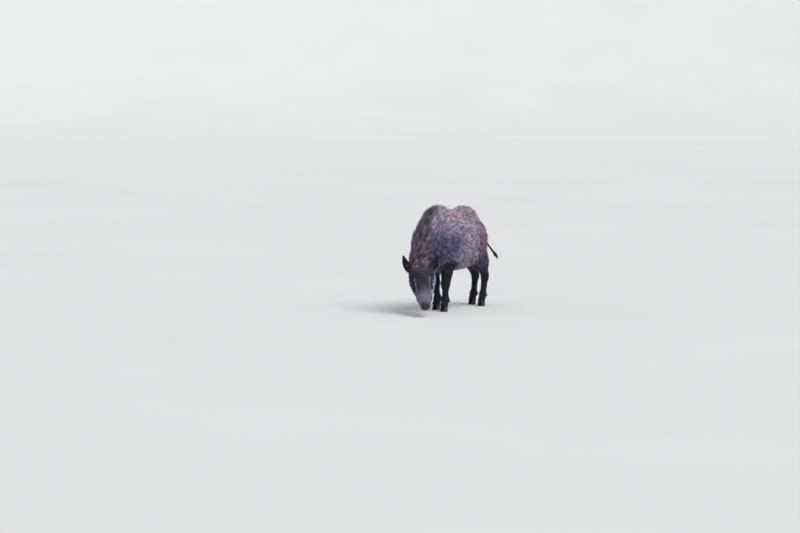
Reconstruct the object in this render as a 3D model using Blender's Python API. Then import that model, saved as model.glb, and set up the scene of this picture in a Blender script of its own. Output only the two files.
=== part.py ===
"""A young wild boar, life size, standing with its head down to graze.

The animal faces -Y and its left side is +X; +Z is up and the hooves stand on z = 0. The solids are the
outline of the coat, out to the tips of the hair. The body is one blended form of many muscle and bone
masses, parted by thin flat cuts into the pieces that a person would name. Metres throughout.
"""

import math
from functools import partial

import bmesh
import bpy
import numpy as np
from mathutils import Matrix, Vector

# Driving sizes of the standing animal.
WITHERS_HEIGHT = 0.566
CROUP_HEIGHT = 0.560
LOIN_HEIGHT = 0.548
BELLY_HEIGHT = 0.226
HEAD_LENGTH = 0.275

# Feet: how far ahead of the middle of the trunk each foot stands, and how far to its side.
FOOT_SIDE = 0.046
FOOT_AHEAD = {"front_left": 0.190, "front_right": 0.120, "hind_left": -0.213, "hind_right": -0.268}
SIDES = {"left": 1, "right": -1}

# Where the poll is (left, ahead, up) and how the head turns, in degrees.
POLL = (0.019, 0.391, 0.257)
HEAD_TURN_LEFT = 37.0
HEAD_NOD = 35.5
HEAD_TILT = 8.5

# Hooves: two claws on each foot, and the plane where they meet the leg.
CORONET_HEIGHT = 0.031
CORONET_SLOPE = math.radians(20)
CLAW_LENGTH = 0.043
CLAW_WIDTH = 0.0165
CLEFT = 0.0030
DEWCLAW_LENGTH = 0.019

# The eyes, in the head's frame.
EYE_RADIUS = 0.0100
EYE_PLACE = (0.0410, 0.112, -0.0345)

# The snout disc, in the head's frame: how high it sits, and how far its top leans back for each unit up.
DISC_HALF_WIDTH = 0.0265
DISC_HALF_HEIGHT = 0.0235
DISC_UP = -0.0430
DISC_SLOPE = 0.22
# Rings of the disc from back to front: how far ahead of its middle each is, and its share of the full size.
DISC_RINGS = ((-0.0066, 0.86), (-0.0060, 0.97), (-0.0030, 1.0), (0.0030, 1.0), (0.0056, 0.95), (0.0066, 0.84))
NOSTRIL_SIDE = 0.0098
NOSTRIL_SIZE = (0.0036, 0.0052, 0.0050)

# The ears, in the head's frame.
EAR_ROOT = (0.050, 0.012, -0.026)
EAR_TIP = {"left": (0.101, -0.027, 0.057), "right": (0.091, -0.054, 0.055)}
EAR_HALF_WIDTH = 0.027
EAR_THICKNESS = 0.0055
EAR_HOLLOW = (0.026, 0.006)
EAR_BEND = 0.010

# The cuts between the pieces of flesh, in degrees from level: at the armpit, the groin and the neck.
ARMPIT_SLOPE = 48.0
GROIN_SLOPE = 58.0
NECK_CUT_LEAN = 15.0
FAR = 0.200
UNDER_FLOOR = -0.02

# How far from a mass its pull on the surface is worked out.
REACH = 0.06

# Sizes of the mesh cells that the forms are drawn with, and the share of faces kept.
HEAD_CELL, HEAD_KEEP = 0.0040, 0.065
BODY_CELL, BODY_KEEP = 0.0070, 0.076
CUT_GAP = 0.0004

# Colour and roughness of each kind of surface, and which pieces are not plain coat.
COLOURS = {
    "coat": ((0.150, 0.118, 0.160), 0.9),
    "face_coat": ((0.085, 0.075, 0.115), 0.8),
    "leg_coat": ((0.030, 0.030, 0.052), 0.85),
    "snout": ((0.070, 0.050, 0.075), 0.5),
    "eye": ((0.010, 0.008, 0.008), 0.08),
    "horn": ((0.030, 0.026, 0.030), 0.45),
}
SLOT_OF = {
    "head": "face_coat",
    "ear": "face_coat",
    "foreleg": "leg_coat",
    "hindleg": "leg_coat",
    "snout": "snout",
    "eye": "eye",
    "claw": "horn",
    "dewclaw": "horn",
}


def at(left, ahead, up):
    """A point given as distances to the animal's left, ahead of the trunk's middle, and above the floor."""
    return Vector((left, -ahead, up))


def clear_scene():
    for old in list(bpy.data.objects):
        bpy.data.objects.remove(old, do_unlink=True)


def make_material(name, slot):
    colour, roughness = COLOURS[slot]
    material = bpy.data.materials.new(name)
    material.use_nodes = True
    shader = material.node_tree.nodes["Principled BSDF"]
    shader.inputs["Base Color"].default_value = (*colour, 1.0)
    shader.inputs["Roughness"].default_value = roughness
    return material


def head_matrix():
    """Takes the head's own frame (left, ahead along the face, up from the forehead) into the animal's."""
    turn = Matrix.Rotation(math.radians(HEAD_TURN_LEFT), 4, "Z")
    nod = Matrix.Rotation(math.radians(HEAD_NOD), 4, "X")
    tilt = Matrix.Rotation(math.radians(-HEAD_TILT), 4, "Y")
    return Matrix.Translation(at(*POLL)) @ turn @ nod @ tilt


# ---------------------------------------------------------------- masses


class Mass:
    """A tapered round-ended form from start to end, squeezed across one direction."""

    def __init__(self, start, end, start_radius, end_radius, squeeze=1.0, across=(1, 0, 0), blend=0.03):
        self.start = Vector(start)
        self.end = Vector(end)
        self.radii = (start_radius, end_radius)
        self.squeeze = squeeze
        self.across = Vector(across).normalized()
        self.blend = blend

    def placed(self, matrix):
        """The same mass carried by a matrix."""
        turned = matrix.to_3x3() @ self.across
        return Mass(matrix @ self.start, matrix @ self.end, *self.radii, self.squeeze, turned, self.blend)

    def near(self, points):
        """Which of the points the mass could reach."""
        grow = max(self.radii) * max(1.0, self.squeeze) + REACH
        low = np.minimum(self.start, self.end) - grow
        high = np.maximum(self.start, self.end) + grow
        return ((points > low) & (points < high)).all(axis=1)

    def distance(self, points):
        """Signed distance of each point from the mass, to first order."""
        across = np.array(self.across)
        stretch = 1.0 / self.squeeze - 1.0
        line = np.array(self.end - self.start)
        line = line + across * (line @ across) * stretch
        offset = points - np.array(self.start)
        offset = offset + np.outer(offset @ across, across) * stretch
        along = np.clip(offset @ line / max(line @ line, 1e-12), 0.0, 1.0)
        away = offset - np.outer(along, line)
        length = np.maximum(np.linalg.norm(away, axis=1), 1e-9)
        radius = self.radii[0] + along * (self.radii[1] - self.radii[0])
        slope = away / length[:, None]
        slope = slope + np.outer(slope @ across, across) * stretch
        return (length - radius) / np.linalg.norm(slope, axis=1)


def mirrored(mass):
    """The mass and its twin on the other side of the plane x = 0 of its own frame."""
    flip = Vector((-1, 1, 1))
    start = mass.start * flip
    end = mass.end * flip
    across = mass.across * flip
    return [mass, Mass(start, end, *mass.radii, mass.squeeze, across, mass.blend)]


def trunk_masses():
    belly = BELLY_HEIGHT
    rib_radius = (WITHERS_HEIGHT - belly) * 0.455
    rib_up = belly + rib_radius + 0.012
    masses = [
        Mass(at(0, 0.115, rib_up), at(0, -0.06, rib_up - 0.008), rib_radius, rib_radius * 0.97, 0.65),
        Mass(at(0, 0.02, 0.372), at(0, -0.110, 0.388), 0.147, 0.126, 0.76, blend=0.04),
        # the spine, from the withers over the loin to the croup, and down to the root of the tail
        Mass(at(0, 0.195, WITHERS_HEIGHT - 0.064), at(0, 0.09, LOIN_HEIGHT - 0.052), 0.064, 0.060, 0.75),
        Mass(at(0, 0.09, LOIN_HEIGHT - 0.070), at(0, -0.07, LOIN_HEIGHT - 0.072), 0.072, 0.072, 1.15),
        Mass(at(0, -0.080, CROUP_HEIGHT - 0.056), at(0, -0.105, CROUP_HEIGHT - 0.060), 0.056, 0.056, 1.0),
        Mass(at(0, -0.100, 0.468), at(0, -0.198, 0.395), 0.066, 0.054, 0.95),
        Mass(at(0, 0.215, 0.36), at(0, 0.225, 0.315), 0.085, 0.062, 0.92, blend=0.04),
        # the shaggy edge of the brisket and belly
        Mass(at(0, 0.17, belly + 0.050), at(0, -0.02, belly + 0.042), 0.045, 0.042, 1.2, blend=0.05),
    ]
    for mass in (
        Mass(at(0.048, 0.150, 0.470), at(0.060, 0.195, 0.360), 0.064, 0.062, 0.62, blend=0.05),
        Mass(at(0.058, 0.190, 0.350), at(0.060, 0.140, 0.295), 0.054, 0.044, 0.70, blend=0.03),
        Mass(at(0.036, -0.065, 0.450), at(0.040, -0.138, 0.412), 0.062, 0.058, 0.85, blend=0.03),
        Mass(at(0.052, 0.030, 0.400), at(0.048, -0.100, 0.385), 0.082, 0.075, 0.72, blend=0.05),
    ):
        masses += mirrored(mass)
    return masses


def neck_masses():
    head = head_matrix()
    return [
        Mass(at(0, 0.185, 0.425), at(-0.002, 0.262, 0.366), 0.130, 0.112, 0.74, blend=0.05),
        Mass(at(-0.002, 0.262, 0.366), at(-0.010, 0.320, 0.285), 0.112, 0.080, 0.80, blend=0.04),
        Mass(at(-0.010, 0.320, 0.285), head @ at(0, 0.02, -0.068), 0.074, 0.064, 0.94, blend=0.04),
        # the crest of longer hair from the withers to the poll
        Mass(at(0, 0.195, WITHERS_HEIGHT - 0.044), at(0, 0.270, 0.470), 0.044, 0.046, 0.95, blend=0.04),
        Mass(at(0, 0.270, 0.470), at(-0.006, 0.340, 0.375), 0.046, 0.039, 0.95, blend=0.03),
        Mass(at(-0.006, 0.340, 0.375), head @ at(0, 0.005, -0.022), 0.039, 0.026, 0.95, blend=0.03),
    ]


def head_masses():
    """The head's forms in its own frame: ahead runs from the poll to the nose, up from the forehead."""
    tip = HEAD_LENGTH
    central = [
        Mass(at(0, 0.035, -0.048), at(0, 0.085, -0.046), 0.049, 0.045, 1.05, blend=0.02),
        Mass(at(0, 0.110, -0.036), at(0, tip - 0.034, -0.040), 0.032, 0.0205, blend=0.015),
        Mass(at(0, 0.03, -0.085), at(0, 0.14, -0.078), 0.040, 0.036, 1.1, blend=0.02),
        Mass(at(0, tip - 0.045, -0.073), at(0, tip - 0.036, -0.071), 0.016, 0.013, 1.1, blend=0.008),
        Mass(at(0, tip - 0.034, -0.043), at(0, tip - 0.004, -0.043), 0.0240, 0.0262, 1.04, blend=0.01),
    ]
    paired = [
        # forehead, brow, cheekbone, chewing muscle, upper jaw and lower jaw
        Mass(at(0.018, 0.030, -0.032), at(0.019, 0.115, -0.031), 0.027, 0.022, blend=0.015),
        Mass(at(0.033, 0.085, -0.028), at(0.030, 0.130, -0.034), 0.015, 0.012, blend=0.010),
        Mass(at(0.039, 0.040, -0.062), at(0.032, 0.125, -0.062), 0.028, 0.023, blend=0.02),
        Mass(at(0.031, 0.020, -0.088), at(0.026, 0.090, -0.096), 0.034, 0.030, blend=0.02),
        Mass(at(0.016, 0.130, -0.056), at(0.013, 0.195, -0.052), 0.032, 0.027, blend=0.015),
        Mass(at(0.012, 0.195, -0.052), at(0.006, tip - 0.022, -0.046), 0.0265, 0.0210, blend=0.015),
        Mass(at(0.017, 0.055, -0.106), at(0.006, tip - 0.050, -0.076), 0.026, 0.0135, blend=0.006),
        Mass(at(0.045, 0.000, -0.030), at(0.040, 0.030, -0.040), 0.020, 0.022, blend=0.02),
    ]
    masses = central + [twin for mass in paired for twin in mirrored(mass)]
    return [mass.placed(head_matrix()) for mass in masses]


def head_hollows():
    """What is taken away from the head: the hollows that the eyes sit in."""
    left, ahead, up = EYE_PLACE
    hollow = Mass(at(left + 0.013, ahead, up), at(left + 0.013, ahead, up), 0.0125, 0.0125, blend=0.012)
    return [mass.placed(head_matrix()) for mass in mirrored(hollow)]


def foreleg_masses(side):
    sign = SIDES[side]
    ahead = FOOT_AHEAD["front_" + side]
    lean = (0.150 - ahead) * 0.35
    elbow = at(sign * 0.058, 0.145, 0.285)
    knee = at(sign * 0.050, ahead + lean * 0.35 - 0.002, 0.152)
    fetlock = at(sign * FOOT_SIDE, ahead - 0.012, 0.066)
    coronet = at(sign * FOOT_SIDE, ahead + 0.004, 0.030)
    return [
        Mass(elbow, knee, 0.041, 0.0240, 0.86, blend=0.03),
        Mass(at(sign * 0.056, 0.172, 0.300), knee, 0.037, 0.0215, 0.9, blend=0.02),
        Mass(knee, knee + Vector((0, 0, -0.012)), 0.0250, 0.0225, blend=0.012),
        Mass(knee, fetlock, 0.0205, 0.0190, blend=0.010),
        Mass(fetlock, fetlock, 0.0225, 0.0225, blend=0.010),
        Mass(fetlock, coronet, 0.0195, 0.0200, 1.08, blend=0.010),
    ]


def hindleg_masses(side):
    sign = SIDES[side]
    ahead = FOOT_AHEAD["hind_" + side]
    shift = (ahead + 0.240) * 0.45
    hip = at(sign * 0.043, -0.134 + shift * 0.2, 0.400)
    stifle = at(sign * 0.068, -0.108 + shift * 0.5, 0.305)
    hock = at(sign * 0.047, ahead - 0.034, 0.160)
    point_of_hock = at(sign * 0.047, ahead - 0.052, 0.176)
    fetlock = at(sign * FOOT_SIDE, ahead - 0.014, 0.066)
    coronet = at(sign * FOOT_SIDE, ahead + 0.003, 0.030)
    buttock = at(sign * 0.040, -0.192, 0.375)
    gaskin = at(sign * 0.054, ahead + 0.012, 0.250)
    return [
        Mass(hip, stifle, 0.076, 0.056, 0.80, blend=0.03),
        Mass(buttock, gaskin, 0.054, 0.037, 0.85, blend=0.03),
        Mass(stifle, gaskin, 0.050, 0.038, 0.78, blend=0.03),
        Mass(gaskin, hock, 0.037, 0.0240, 0.85, blend=0.02),
        Mass(gaskin, point_of_hock, 0.025, 0.0130, 0.85, blend=0.015),
        Mass(hock, point_of_hock, 0.0230, 0.0145, 0.90, blend=0.010),
        Mass(hock, fetlock, 0.0220, 0.0192, 0.95, blend=0.012),
        Mass(fetlock, fetlock, 0.0220, 0.0220, blend=0.010),
        Mass(fetlock, coronet, 0.0192, 0.0196, 1.08, blend=0.010),
    ]


def body_masses():
    masses = trunk_masses() + neck_masses() + head_masses()
    for side in SIDES:
        masses += foreleg_masses(side) + hindleg_masses(side)
    return masses


def blended_distance(points, masses, hollows):
    """Signed distance of each point from the body, with every mass blended into those before it."""
    total = np.full(len(points), REACH)
    for mass in masses:
        near = mass.near(points)
        other, so_far = mass.distance(points[near]), total[near]
        overlap = np.maximum(mass.blend - np.abs(so_far - other), 0.0) / mass.blend
        total[near] = np.minimum(so_far, other) - overlap**2 * mass.blend / 4
    for hollow in hollows:
        near = hollow.near(points)
        other, so_far = -hollow.distance(points[near]), total[near]
        overlap = np.maximum(hollow.blend - np.abs(so_far - other), 0.0) / hollow.blend
        total[near] = np.maximum(so_far, other) + overlap**2 * hollow.blend / 4
    return total


# ---------------------------------------------------------------- meshes


def add_object(name, mesh):
    made = bpy.data.objects.new(name, mesh)
    bpy.context.scene.collection.objects.link(made)
    return made


def evaluated_mesh(obj):
    """A mesh of the object with its modifiers applied."""
    bpy.context.view_layer.update()
    graph = bpy.context.evaluated_depsgraph_get()
    return bpy.data.meshes.new_from_object(obj.evaluated_get(graph))


def apply_modifiers(obj):
    mesh = evaluated_mesh(obj)
    obj.modifiers.clear()
    obj.data = mesh


def unit_ball():
    """Corners and faces of a ball of radius 1."""
    ball = bmesh.new()
    bmesh.ops.create_icosphere(ball, subdivisions=2, radius=1.0)
    corners = np.array([corner.co for corner in ball.verts])
    faces = np.array([[corner.index for corner in face.verts] for face in ball.faces])
    ball.free()
    return corners, faces


def rough_body(name, masses):
    """Balls strung along every mass: the rough shape that the skin is drawn over."""
    ball, ball_faces = unit_ball()
    corners, faces = [], []
    for mass in masses:
        line = mass.end - mass.start
        count = max(1, math.ceil(line.length / (0.4 * min(mass.radii))))
        turn = Vector((1, 0, 0)).rotation_difference(mass.across).to_matrix()
        shape = np.array(turn @ Matrix.Diagonal((mass.squeeze, 1, 1)))
        for step in range(count + 1):
            share = step / count
            radius = mass.radii[0] + share * (mass.radii[1] - mass.radii[0])
            faces.append(ball_faces + len(corners) * len(ball))
            corners.append(ball @ shape.T * radius + np.array(mass.start + line * share))
    mesh = bpy.data.meshes.new(name)
    mesh.from_pydata(np.concatenate(corners), [], np.concatenate(faces))
    return add_object(name, mesh)


def remesh(obj, cell):
    modifier = obj.modifiers.new("Remesh", "REMESH")
    modifier.mode = "VOXEL"
    modifier.voxel_size = cell
    apply_modifiers(obj)


def settle(obj, masses, hollows, rounds=5):
    """Moves every vertex of the mesh onto the blended surface of the masses."""
    mesh = obj.data
    flat = np.empty(len(mesh.vertices) * 3)
    mesh.vertices.foreach_get("co", flat)
    points = flat.reshape(-1, 3)
    probe = 0.0005
    for _ in range(rounds):
        value = blended_distance(points, masses, hollows)
        slope = np.empty_like(points)
        for axis in range(3):
            moved = points.copy()
            moved[:, axis] += probe
            slope[:, axis] = (blended_distance(moved, masses, hollows) - value) / probe
        steep = np.maximum((slope**2).sum(axis=1), 0.2)
        points = points - slope * (value / steep)[:, None]
    mesh.vertices.foreach_set("co", points.ravel())
    mesh.update()


def draw(name, masses, hollows, cell, keep):
    """The blended masses as one closed mesh, drawn with this cell and thinned to a share of its faces."""
    drawn = rough_body(name, masses)
    remesh(drawn, cell)
    settle(drawn, masses, hollows)
    remesh(drawn, cell)
    settle(drawn, masses, hollows, rounds=2)
    modifier = drawn.modifiers.new("Decimate", "DECIMATE")
    modifier.ratio = keep
    apply_modifiers(drawn)
    return drawn


def copy_of(obj, name):
    copy = add_object(name, obj.data.copy())
    copy.matrix_world = obj.matrix_world
    return copy


def combine(obj, other, operation):
    modifier = obj.modifiers.new("Boolean", "BOOLEAN")
    modifier.operation = operation
    modifier.object = other
    apply_modifiers(obj)


def keep_largest(obj):
    """Deletes every loose piece of the mesh but the one with the most faces."""
    mesh = bmesh.new()
    mesh.from_mesh(obj.data)
    unseen, pieces = set(mesh.verts), []
    while unseen:
        piece, front = set(), {unseen.pop()}
        while front:
            piece |= front
            front = {edge.other_vert(v) for v in front for edge in v.link_edges} & unseen
            unseen -= front
        pieces.append(piece)
    largest = max(pieces, key=len)
    bmesh.ops.delete(mesh, geom=[v for v in mesh.verts if v not in largest])
    bmesh.ops.triangulate(mesh, faces=mesh.faces)
    mesh.to_mesh(obj.data)
    mesh.free()


def grown_copy(obj, name, by):
    """A copy whose surface lies this far outside the object's."""
    copy = copy_of(obj, name)
    mesh = bmesh.new()
    mesh.from_mesh(copy.data)
    mesh.normal_update()
    for corner in mesh.verts:
        corner.co += corner.normal * by
    mesh.to_mesh(copy.data)
    mesh.free()
    return copy


def box(name, matrix, low, high, grow=0.0):
    """A block between two corners of a placed frame, larger by grow on every side."""
    low, high = Vector(low) - Vector((grow,) * 3), Vector(high) + Vector((grow,) * 3)
    mesh = bmesh.new()
    shape = Matrix.Translation((low + high) / 2) @ Matrix.Diagonal((*(high - low), 1))
    bmesh.ops.create_cube(mesh, size=1.0, matrix=matrix @ shape)
    data = bpy.data.meshes.new(name)
    mesh.to_mesh(data)
    mesh.free()
    return add_object(name, data)


# ---------------------------------------------------------------- small forms


def object_of(name, mesh):
    """Takes a bmesh over into a new object, with its faces turned outwards."""
    bmesh.ops.recalc_face_normals(mesh, faces=mesh.faces)
    data = bpy.data.meshes.new(name)
    mesh.to_mesh(data)
    mesh.free()
    return add_object(name, data)


def loft(name, rings):
    """A closed form through rings of points, with flat ends."""
    mesh = bmesh.new()
    loops = [[mesh.verts.new(point) for point in ring] for ring in rings]
    for first, second in zip(loops[:-1], loops[1:]):
        for i in range(len(first)):
            j = (i + 1) % len(first)
            mesh.faces.new((first[i], first[j], second[j], second[i]))
    mesh.faces.new(loops[0])
    mesh.faces.new(loops[-1])
    return object_of(name, mesh)


def tube(name, points, radii, sides):
    """A round form along a line of points."""
    rings = []
    for i, (point, radius) in enumerate(zip(points, radii)):
        along = (points[min(i + 1, len(points) - 1)] - points[max(i - 1, 0)]).normalized()
        across = along.cross(Vector((0, 0, 1))).normalized()
        down = along.cross(across)
        turns = [2 * math.pi * k / sides for k in range(sides)]
        rings.append([point + (across * math.cos(t) + down * math.sin(t)) * radius for t in turns])
    return loft(name, rings)


def curve_through(points, steps):
    """Points along a smooth curve through the given ones (Catmull-Rom)."""
    ends = [points[0] * 2 - points[1], *points, points[-1] * 2 - points[-2]]
    made = []
    for before, start, end, after in zip(ends, ends[1:], ends[2:], ends[3:]):
        for step in range(steps):
            t = step / steps
            bend = (before * 2 - start * 5 + end * 4 - after) * t**2
            twist = (start * 3 - before - end * 3 + after) * t**3
            made.append((start * 2 + (end - before) * t + bend + twist) / 2)
    return [*made, points[-1]]


def make_tail():
    """The tail hangs from the croup and swings a little to the left, with a tuft at its end."""
    line = [
        at(0.000, -0.205, 0.442),
        at(0.001, -0.245, 0.438),
        at(0.007, -0.278, 0.405),
        at(0.020, -0.300, 0.360),
        at(0.038, -0.320, 0.320),
        at(0.055, -0.337, 0.288),
        at(0.062, -0.343, 0.273),
    ]
    radii = [Vector((r, 0)) for r in (0.021, 0.017, 0.0105, 0.0072, 0.0072, 0.0085, 0.0030)]
    steps = 2
    return tube("tail", curve_through(line, steps), [r.x for r in curve_through(radii, steps)], 8)


def make_ear(side):
    """A pointed leaf, hollowed along its middle and open forwards and outwards."""
    sign = SIDES[side]
    head = head_matrix()
    root = Vector(at(sign * EAR_ROOT[0], *EAR_ROOT[1:]))
    tip_left, *tip_rest = EAR_TIP[side]
    tip = Vector(at(sign * tip_left, *tip_rest))
    length, along = (tip - root).length, (tip - root).normalized()
    opening = Vector(at(sign * 0.55, 0.80, 0.10))
    opening = (opening - along * opening.dot(along)).normalized()
    across = along.cross(opening)
    mesh = bmesh.new()
    rows, columns = 8, 6
    grid = []
    for i in range(rows + 1):
        share = i / rows
        width = EAR_HALF_WIDTH * math.sin(math.pi * (0.14 + 0.84 * share**0.9)) ** 0.85
        hollow = EAR_HOLLOW[0] + (EAR_HOLLOW[1] - EAR_HOLLOW[0]) * share
        centre = root + along * length * (share - 0.06) + opening * EAR_BEND * math.sin(math.pi * share)
        row = []
        for j in range(columns + 1):
            v = 2 * j / columns - 1
            row.append(mesh.verts.new(head @ (centre + across * width * v - opening * hollow * (1 - v * v))))
        grid.append(row)
    for i in range(rows):
        for j in range(columns):
            mesh.faces.new((grid[i][j], grid[i][j + 1], grid[i + 1][j + 1], grid[i + 1][j]))
    ear = object_of("ear_" + side, mesh)
    modifier = ear.modifiers.new("Solidify", "SOLIDIFY")
    modifier.thickness = EAR_THICKNESS
    modifier.offset = 0.0
    apply_modifiers(ear)
    return ear


def make_snout_disc():
    """The flat round end of the snout, with its two nostrils."""
    head = head_matrix()
    rings = []
    sides = 20
    turns = [2 * math.pi * k / sides for k in range(sides)]
    for ahead, share in DISC_RINGS:
        rings.append([
            head @ at(
                DISC_HALF_WIDTH * share * math.cos(turn),
                HEAD_LENGTH + ahead - DISC_SLOPE * DISC_HALF_HEIGHT * math.sin(turn) * share,
                DISC_UP + DISC_HALF_HEIGHT * share * math.sin(turn),
            )
            for turn in turns
        ])
    disc = loft("snout_disc", rings)
    for sign in SIDES.values():
        middle = at(sign * NOSTRIL_SIDE, HEAD_LENGTH + 0.006, DISC_UP - 0.001)
        place = Matrix.Translation(middle) @ Matrix.Rotation(math.radians(90), 4, "X")
        shape = head @ place @ Matrix.Diagonal((*NOSTRIL_SIZE, 1))
        mesh = bmesh.new()
        bmesh.ops.create_uvsphere(mesh, u_segments=8, v_segments=6, radius=1.0, matrix=shape)
        nostril = object_of("nostril", mesh)
        combine(disc, nostril, "DIFFERENCE")
        bpy.data.objects.remove(nostril)
    keep_largest(disc)
    return disc


def snout_region(grow):
    """Everything ahead of the back of the snout disc."""
    back = Matrix.Translation(at(0, HEAD_LENGTH - 0.0070, DISC_UP))
    frame = head_matrix() @ back @ Matrix.Rotation(-math.atan(DISC_SLOPE), 4, "X")
    return box("snout_region", frame, (-0.06, -0.06, -0.06), (0.06, 0.0, 0.06), grow)


def make_eye(side):
    left, ahead, up = EYE_PLACE
    place = Matrix.Translation(head_matrix() @ at(SIDES[side] * left, ahead, up))
    mesh = bmesh.new()
    bmesh.ops.create_icosphere(mesh, subdivisions=2, radius=EYE_RADIUS, matrix=place)
    return object_of("eye_" + side, mesh)


def coronet_plane(foot, grow):
    """A block under the slanting cut where the leg ends and the claws begin."""
    side = foot.split("_")[1]
    middle = at(SIDES[side] * FOOT_SIDE, FOOT_AHEAD[foot], CORONET_HEIGHT)
    frame = Matrix.Translation(middle) @ Matrix.Rotation(-CORONET_SLOPE, 4, "X")
    return box("coronet_plane", frame, (-0.05, -0.06, -0.09), (0.05, 0.06, 0.0), grow)


def make_claw(foot, inner):
    """One of the two claws of a foot: flat below, pointed ahead, its top along the coronet."""
    side = foot.split("_")[1]
    sign = SIDES[side] * (-1 if inner else 1)
    middle = at(SIDES[side] * FOOT_SIDE, FOOT_AHEAD[foot], 0)
    rings = []
    sides = 16
    for share in (0.0, 0.12, 0.55, 1.0):
        ring = []
        for k in range(sides):
            turn = 2 * math.pi * k / sides
            ahead = math.cos(turn)
            narrow = 1 - 0.45 * max(ahead, 0.0) ** 1.6
            side_way = 0.5 * CLAW_WIDTH * (math.sin(turn) * narrow + 1)
            swell = 1 - 0.06 * share - (0.05 if share == 0.0 else 0.0)
            forward = 0.5 * CLAW_LENGTH * ahead * (swell - 0.12 * share) + 0.004 - 0.006 * share
            left = sign * (CLEFT / 2 + side_way * swell + 0.12 * max(forward, 0.0))
            top = CORONET_HEIGHT - CUT_GAP + math.tan(CORONET_SLOPE) * forward
            ring.append(middle + at(left, forward, top * share))
        rings.append(ring)
    return loft(foot_piece("claw", foot, inner), rings)


def make_dewclaw(foot, inner):
    """One of the two small claws behind the fetlock."""
    side = foot.split("_")[1]
    sign = SIDES[side] * (-1 if inner else 1)
    root = at(SIDES[side] * FOOT_SIDE, FOOT_AHEAD[foot] - 0.022, 0.066) + Vector((sign * 0.011, 0, 0))
    point = root + Vector((sign * 0.005, 0.018, -0.016)).normalized() * DEWCLAW_LENGTH
    line = [root.lerp(point, share) for share in (0.0, 0.4, 0.75, 1.0)]
    return tube(foot_piece("dewclaw", foot, inner), line, (0.0075, 0.0070, 0.0052, 0.0020), 6)


def foot_piece(kind, foot, inner):
    return f"{kind}_{foot}_{'inner' if inner else 'outer'}"


# ---------------------------------------------------------------- cuts


def head_region(grow):
    """In front of a flat cut just behind the ears and the corner of the jaw."""
    return box("head_region", head_matrix(), (-0.15, -0.40, -0.17), (0.15, 0.014, 0.12), grow)


def neck_region(grow):
    """In front of a slanting cut from ahead of the withers to the base of the throat."""
    frame = Matrix.Translation(at(0, 0.270, 0.400)) @ Matrix.Rotation(math.radians(-NECK_CUT_LEAN), 4, "X")
    return box("neck_region", frame, (-0.20, -0.40, -0.255), (0.20, 0.0, 0.25), grow)


def prism(name, outline, front, back):
    """A block whose outline is given as (left, up) corners, between two distances ahead."""
    return loft(name, [[at(left, ahead, up) for left, up in outline] for ahead in (front, back)])


def foreleg_region(side, grow):
    """Below a cut that slants from the armpit up and outwards to the elbow."""
    lift = grow / math.cos(math.radians(ARMPIT_SLOPE))
    outline = [(0.004, UNDER_FLOOR), (FAR, UNDER_FLOOR), (FAR, 0.423), (0.028, 0.232), (0.004, 0.205)]
    outline = [(SIDES[side] * left, up + (lift if up > 0 else 0)) for left, up in outline]
    return prism("foreleg_region", outline, 0.245 + grow, 0.075 - grow)


def hindleg_region(side, grow):
    """Below a cut that slants from the groin up and outwards over the thigh."""
    lift = grow / math.cos(math.radians(GROIN_SLOPE))
    outline = [(0.002, UNDER_FLOOR), (FAR, UNDER_FLOOR), (FAR, 0.548), (0.014, 0.250), (0.002, 0.250)]
    outline = [(SIDES[side] * left, up + (lift if up > 0 else 0)) for left, up in outline]
    return prism("hindleg_region", outline, -0.045 + grow, -0.400 - grow)


def cut_to(obj, region):
    """Keeps what of the object lies in the region."""
    cutter = region(-CUT_GAP / 2)
    combine(obj, cutter, "INTERSECT")
    keep_largest(obj)
    bpy.data.objects.remove(cutter)


def cut_off(obj, region):
    """Takes away what of the object lies in the region."""
    cutter = region(CUT_GAP / 2)
    combine(obj, cutter, "DIFFERENCE")
    keep_largest(obj)
    bpy.data.objects.remove(cutter)


def fit_over(piece, body, gap=CUT_GAP):
    """Cuts away what of a piece would lie inside the body, leaving a gap."""
    grown = grown_copy(body, "grown", gap)
    combine(piece, grown, "DIFFERENCE")
    keep_largest(piece)
    bpy.data.objects.remove(grown)


def make_flesh():
    """The trunk, neck, head and legs, cut from the blended form."""
    body = draw("body", body_masses(), head_hollows(), BODY_CELL, BODY_KEEP)
    head = draw("head", neck_masses() + head_masses(), head_hollows(), HEAD_CELL, HEAD_KEEP)
    cut_to(head, head_region)
    cut_off(head, snout_region)
    cut_off(body, head_region)
    regions = {"neck": neck_region}
    for side in SIDES:
        regions["foreleg_" + side] = partial(foreleg_region, side)
        regions["hindleg_" + side] = partial(hindleg_region, side)
    pieces = {"head": head}
    for name, region in regions.items():
        pieces[name] = copy_of(body, name)
        cut_to(pieces[name], region)
    for region in regions.values():
        cut_off(body, region)
    body.name = "trunk"
    pieces["trunk"] = body
    return pieces


def finish(obj):
    """Gives a piece its own material, and a smooth look away from its sharp edges."""
    kind = obj.name.split("_")[0]
    obj.data.materials.clear()
    obj.data.materials.append(make_material(obj.name, SLOT_OF.get(kind, "coat")))
    obj.data.shade_smooth()
    obj.data.set_sharp_from_angle(angle=math.radians(40))


def make_foot(foot, leg):
    cut_off(leg, partial(coronet_plane, foot))
    for inner in (False, True):
        make_claw(foot, inner)
        fit_over(make_dewclaw(foot, inner), leg)


def stand_on_origin():
    """Moves the whole animal so that the origin is under the middle of its outline, on the floor."""
    bpy.context.view_layer.update()
    corners = np.array([obj.matrix_world @ v.co for obj in bpy.data.objects for v in obj.data.vertices])
    low, high = corners.min(axis=0), corners.max(axis=0)
    shift = Vector((-(low[0] + high[0]) / 2, -(low[1] + high[1]) / 2, -low[2]))
    for obj in bpy.data.objects:
        obj.location += shift


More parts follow.
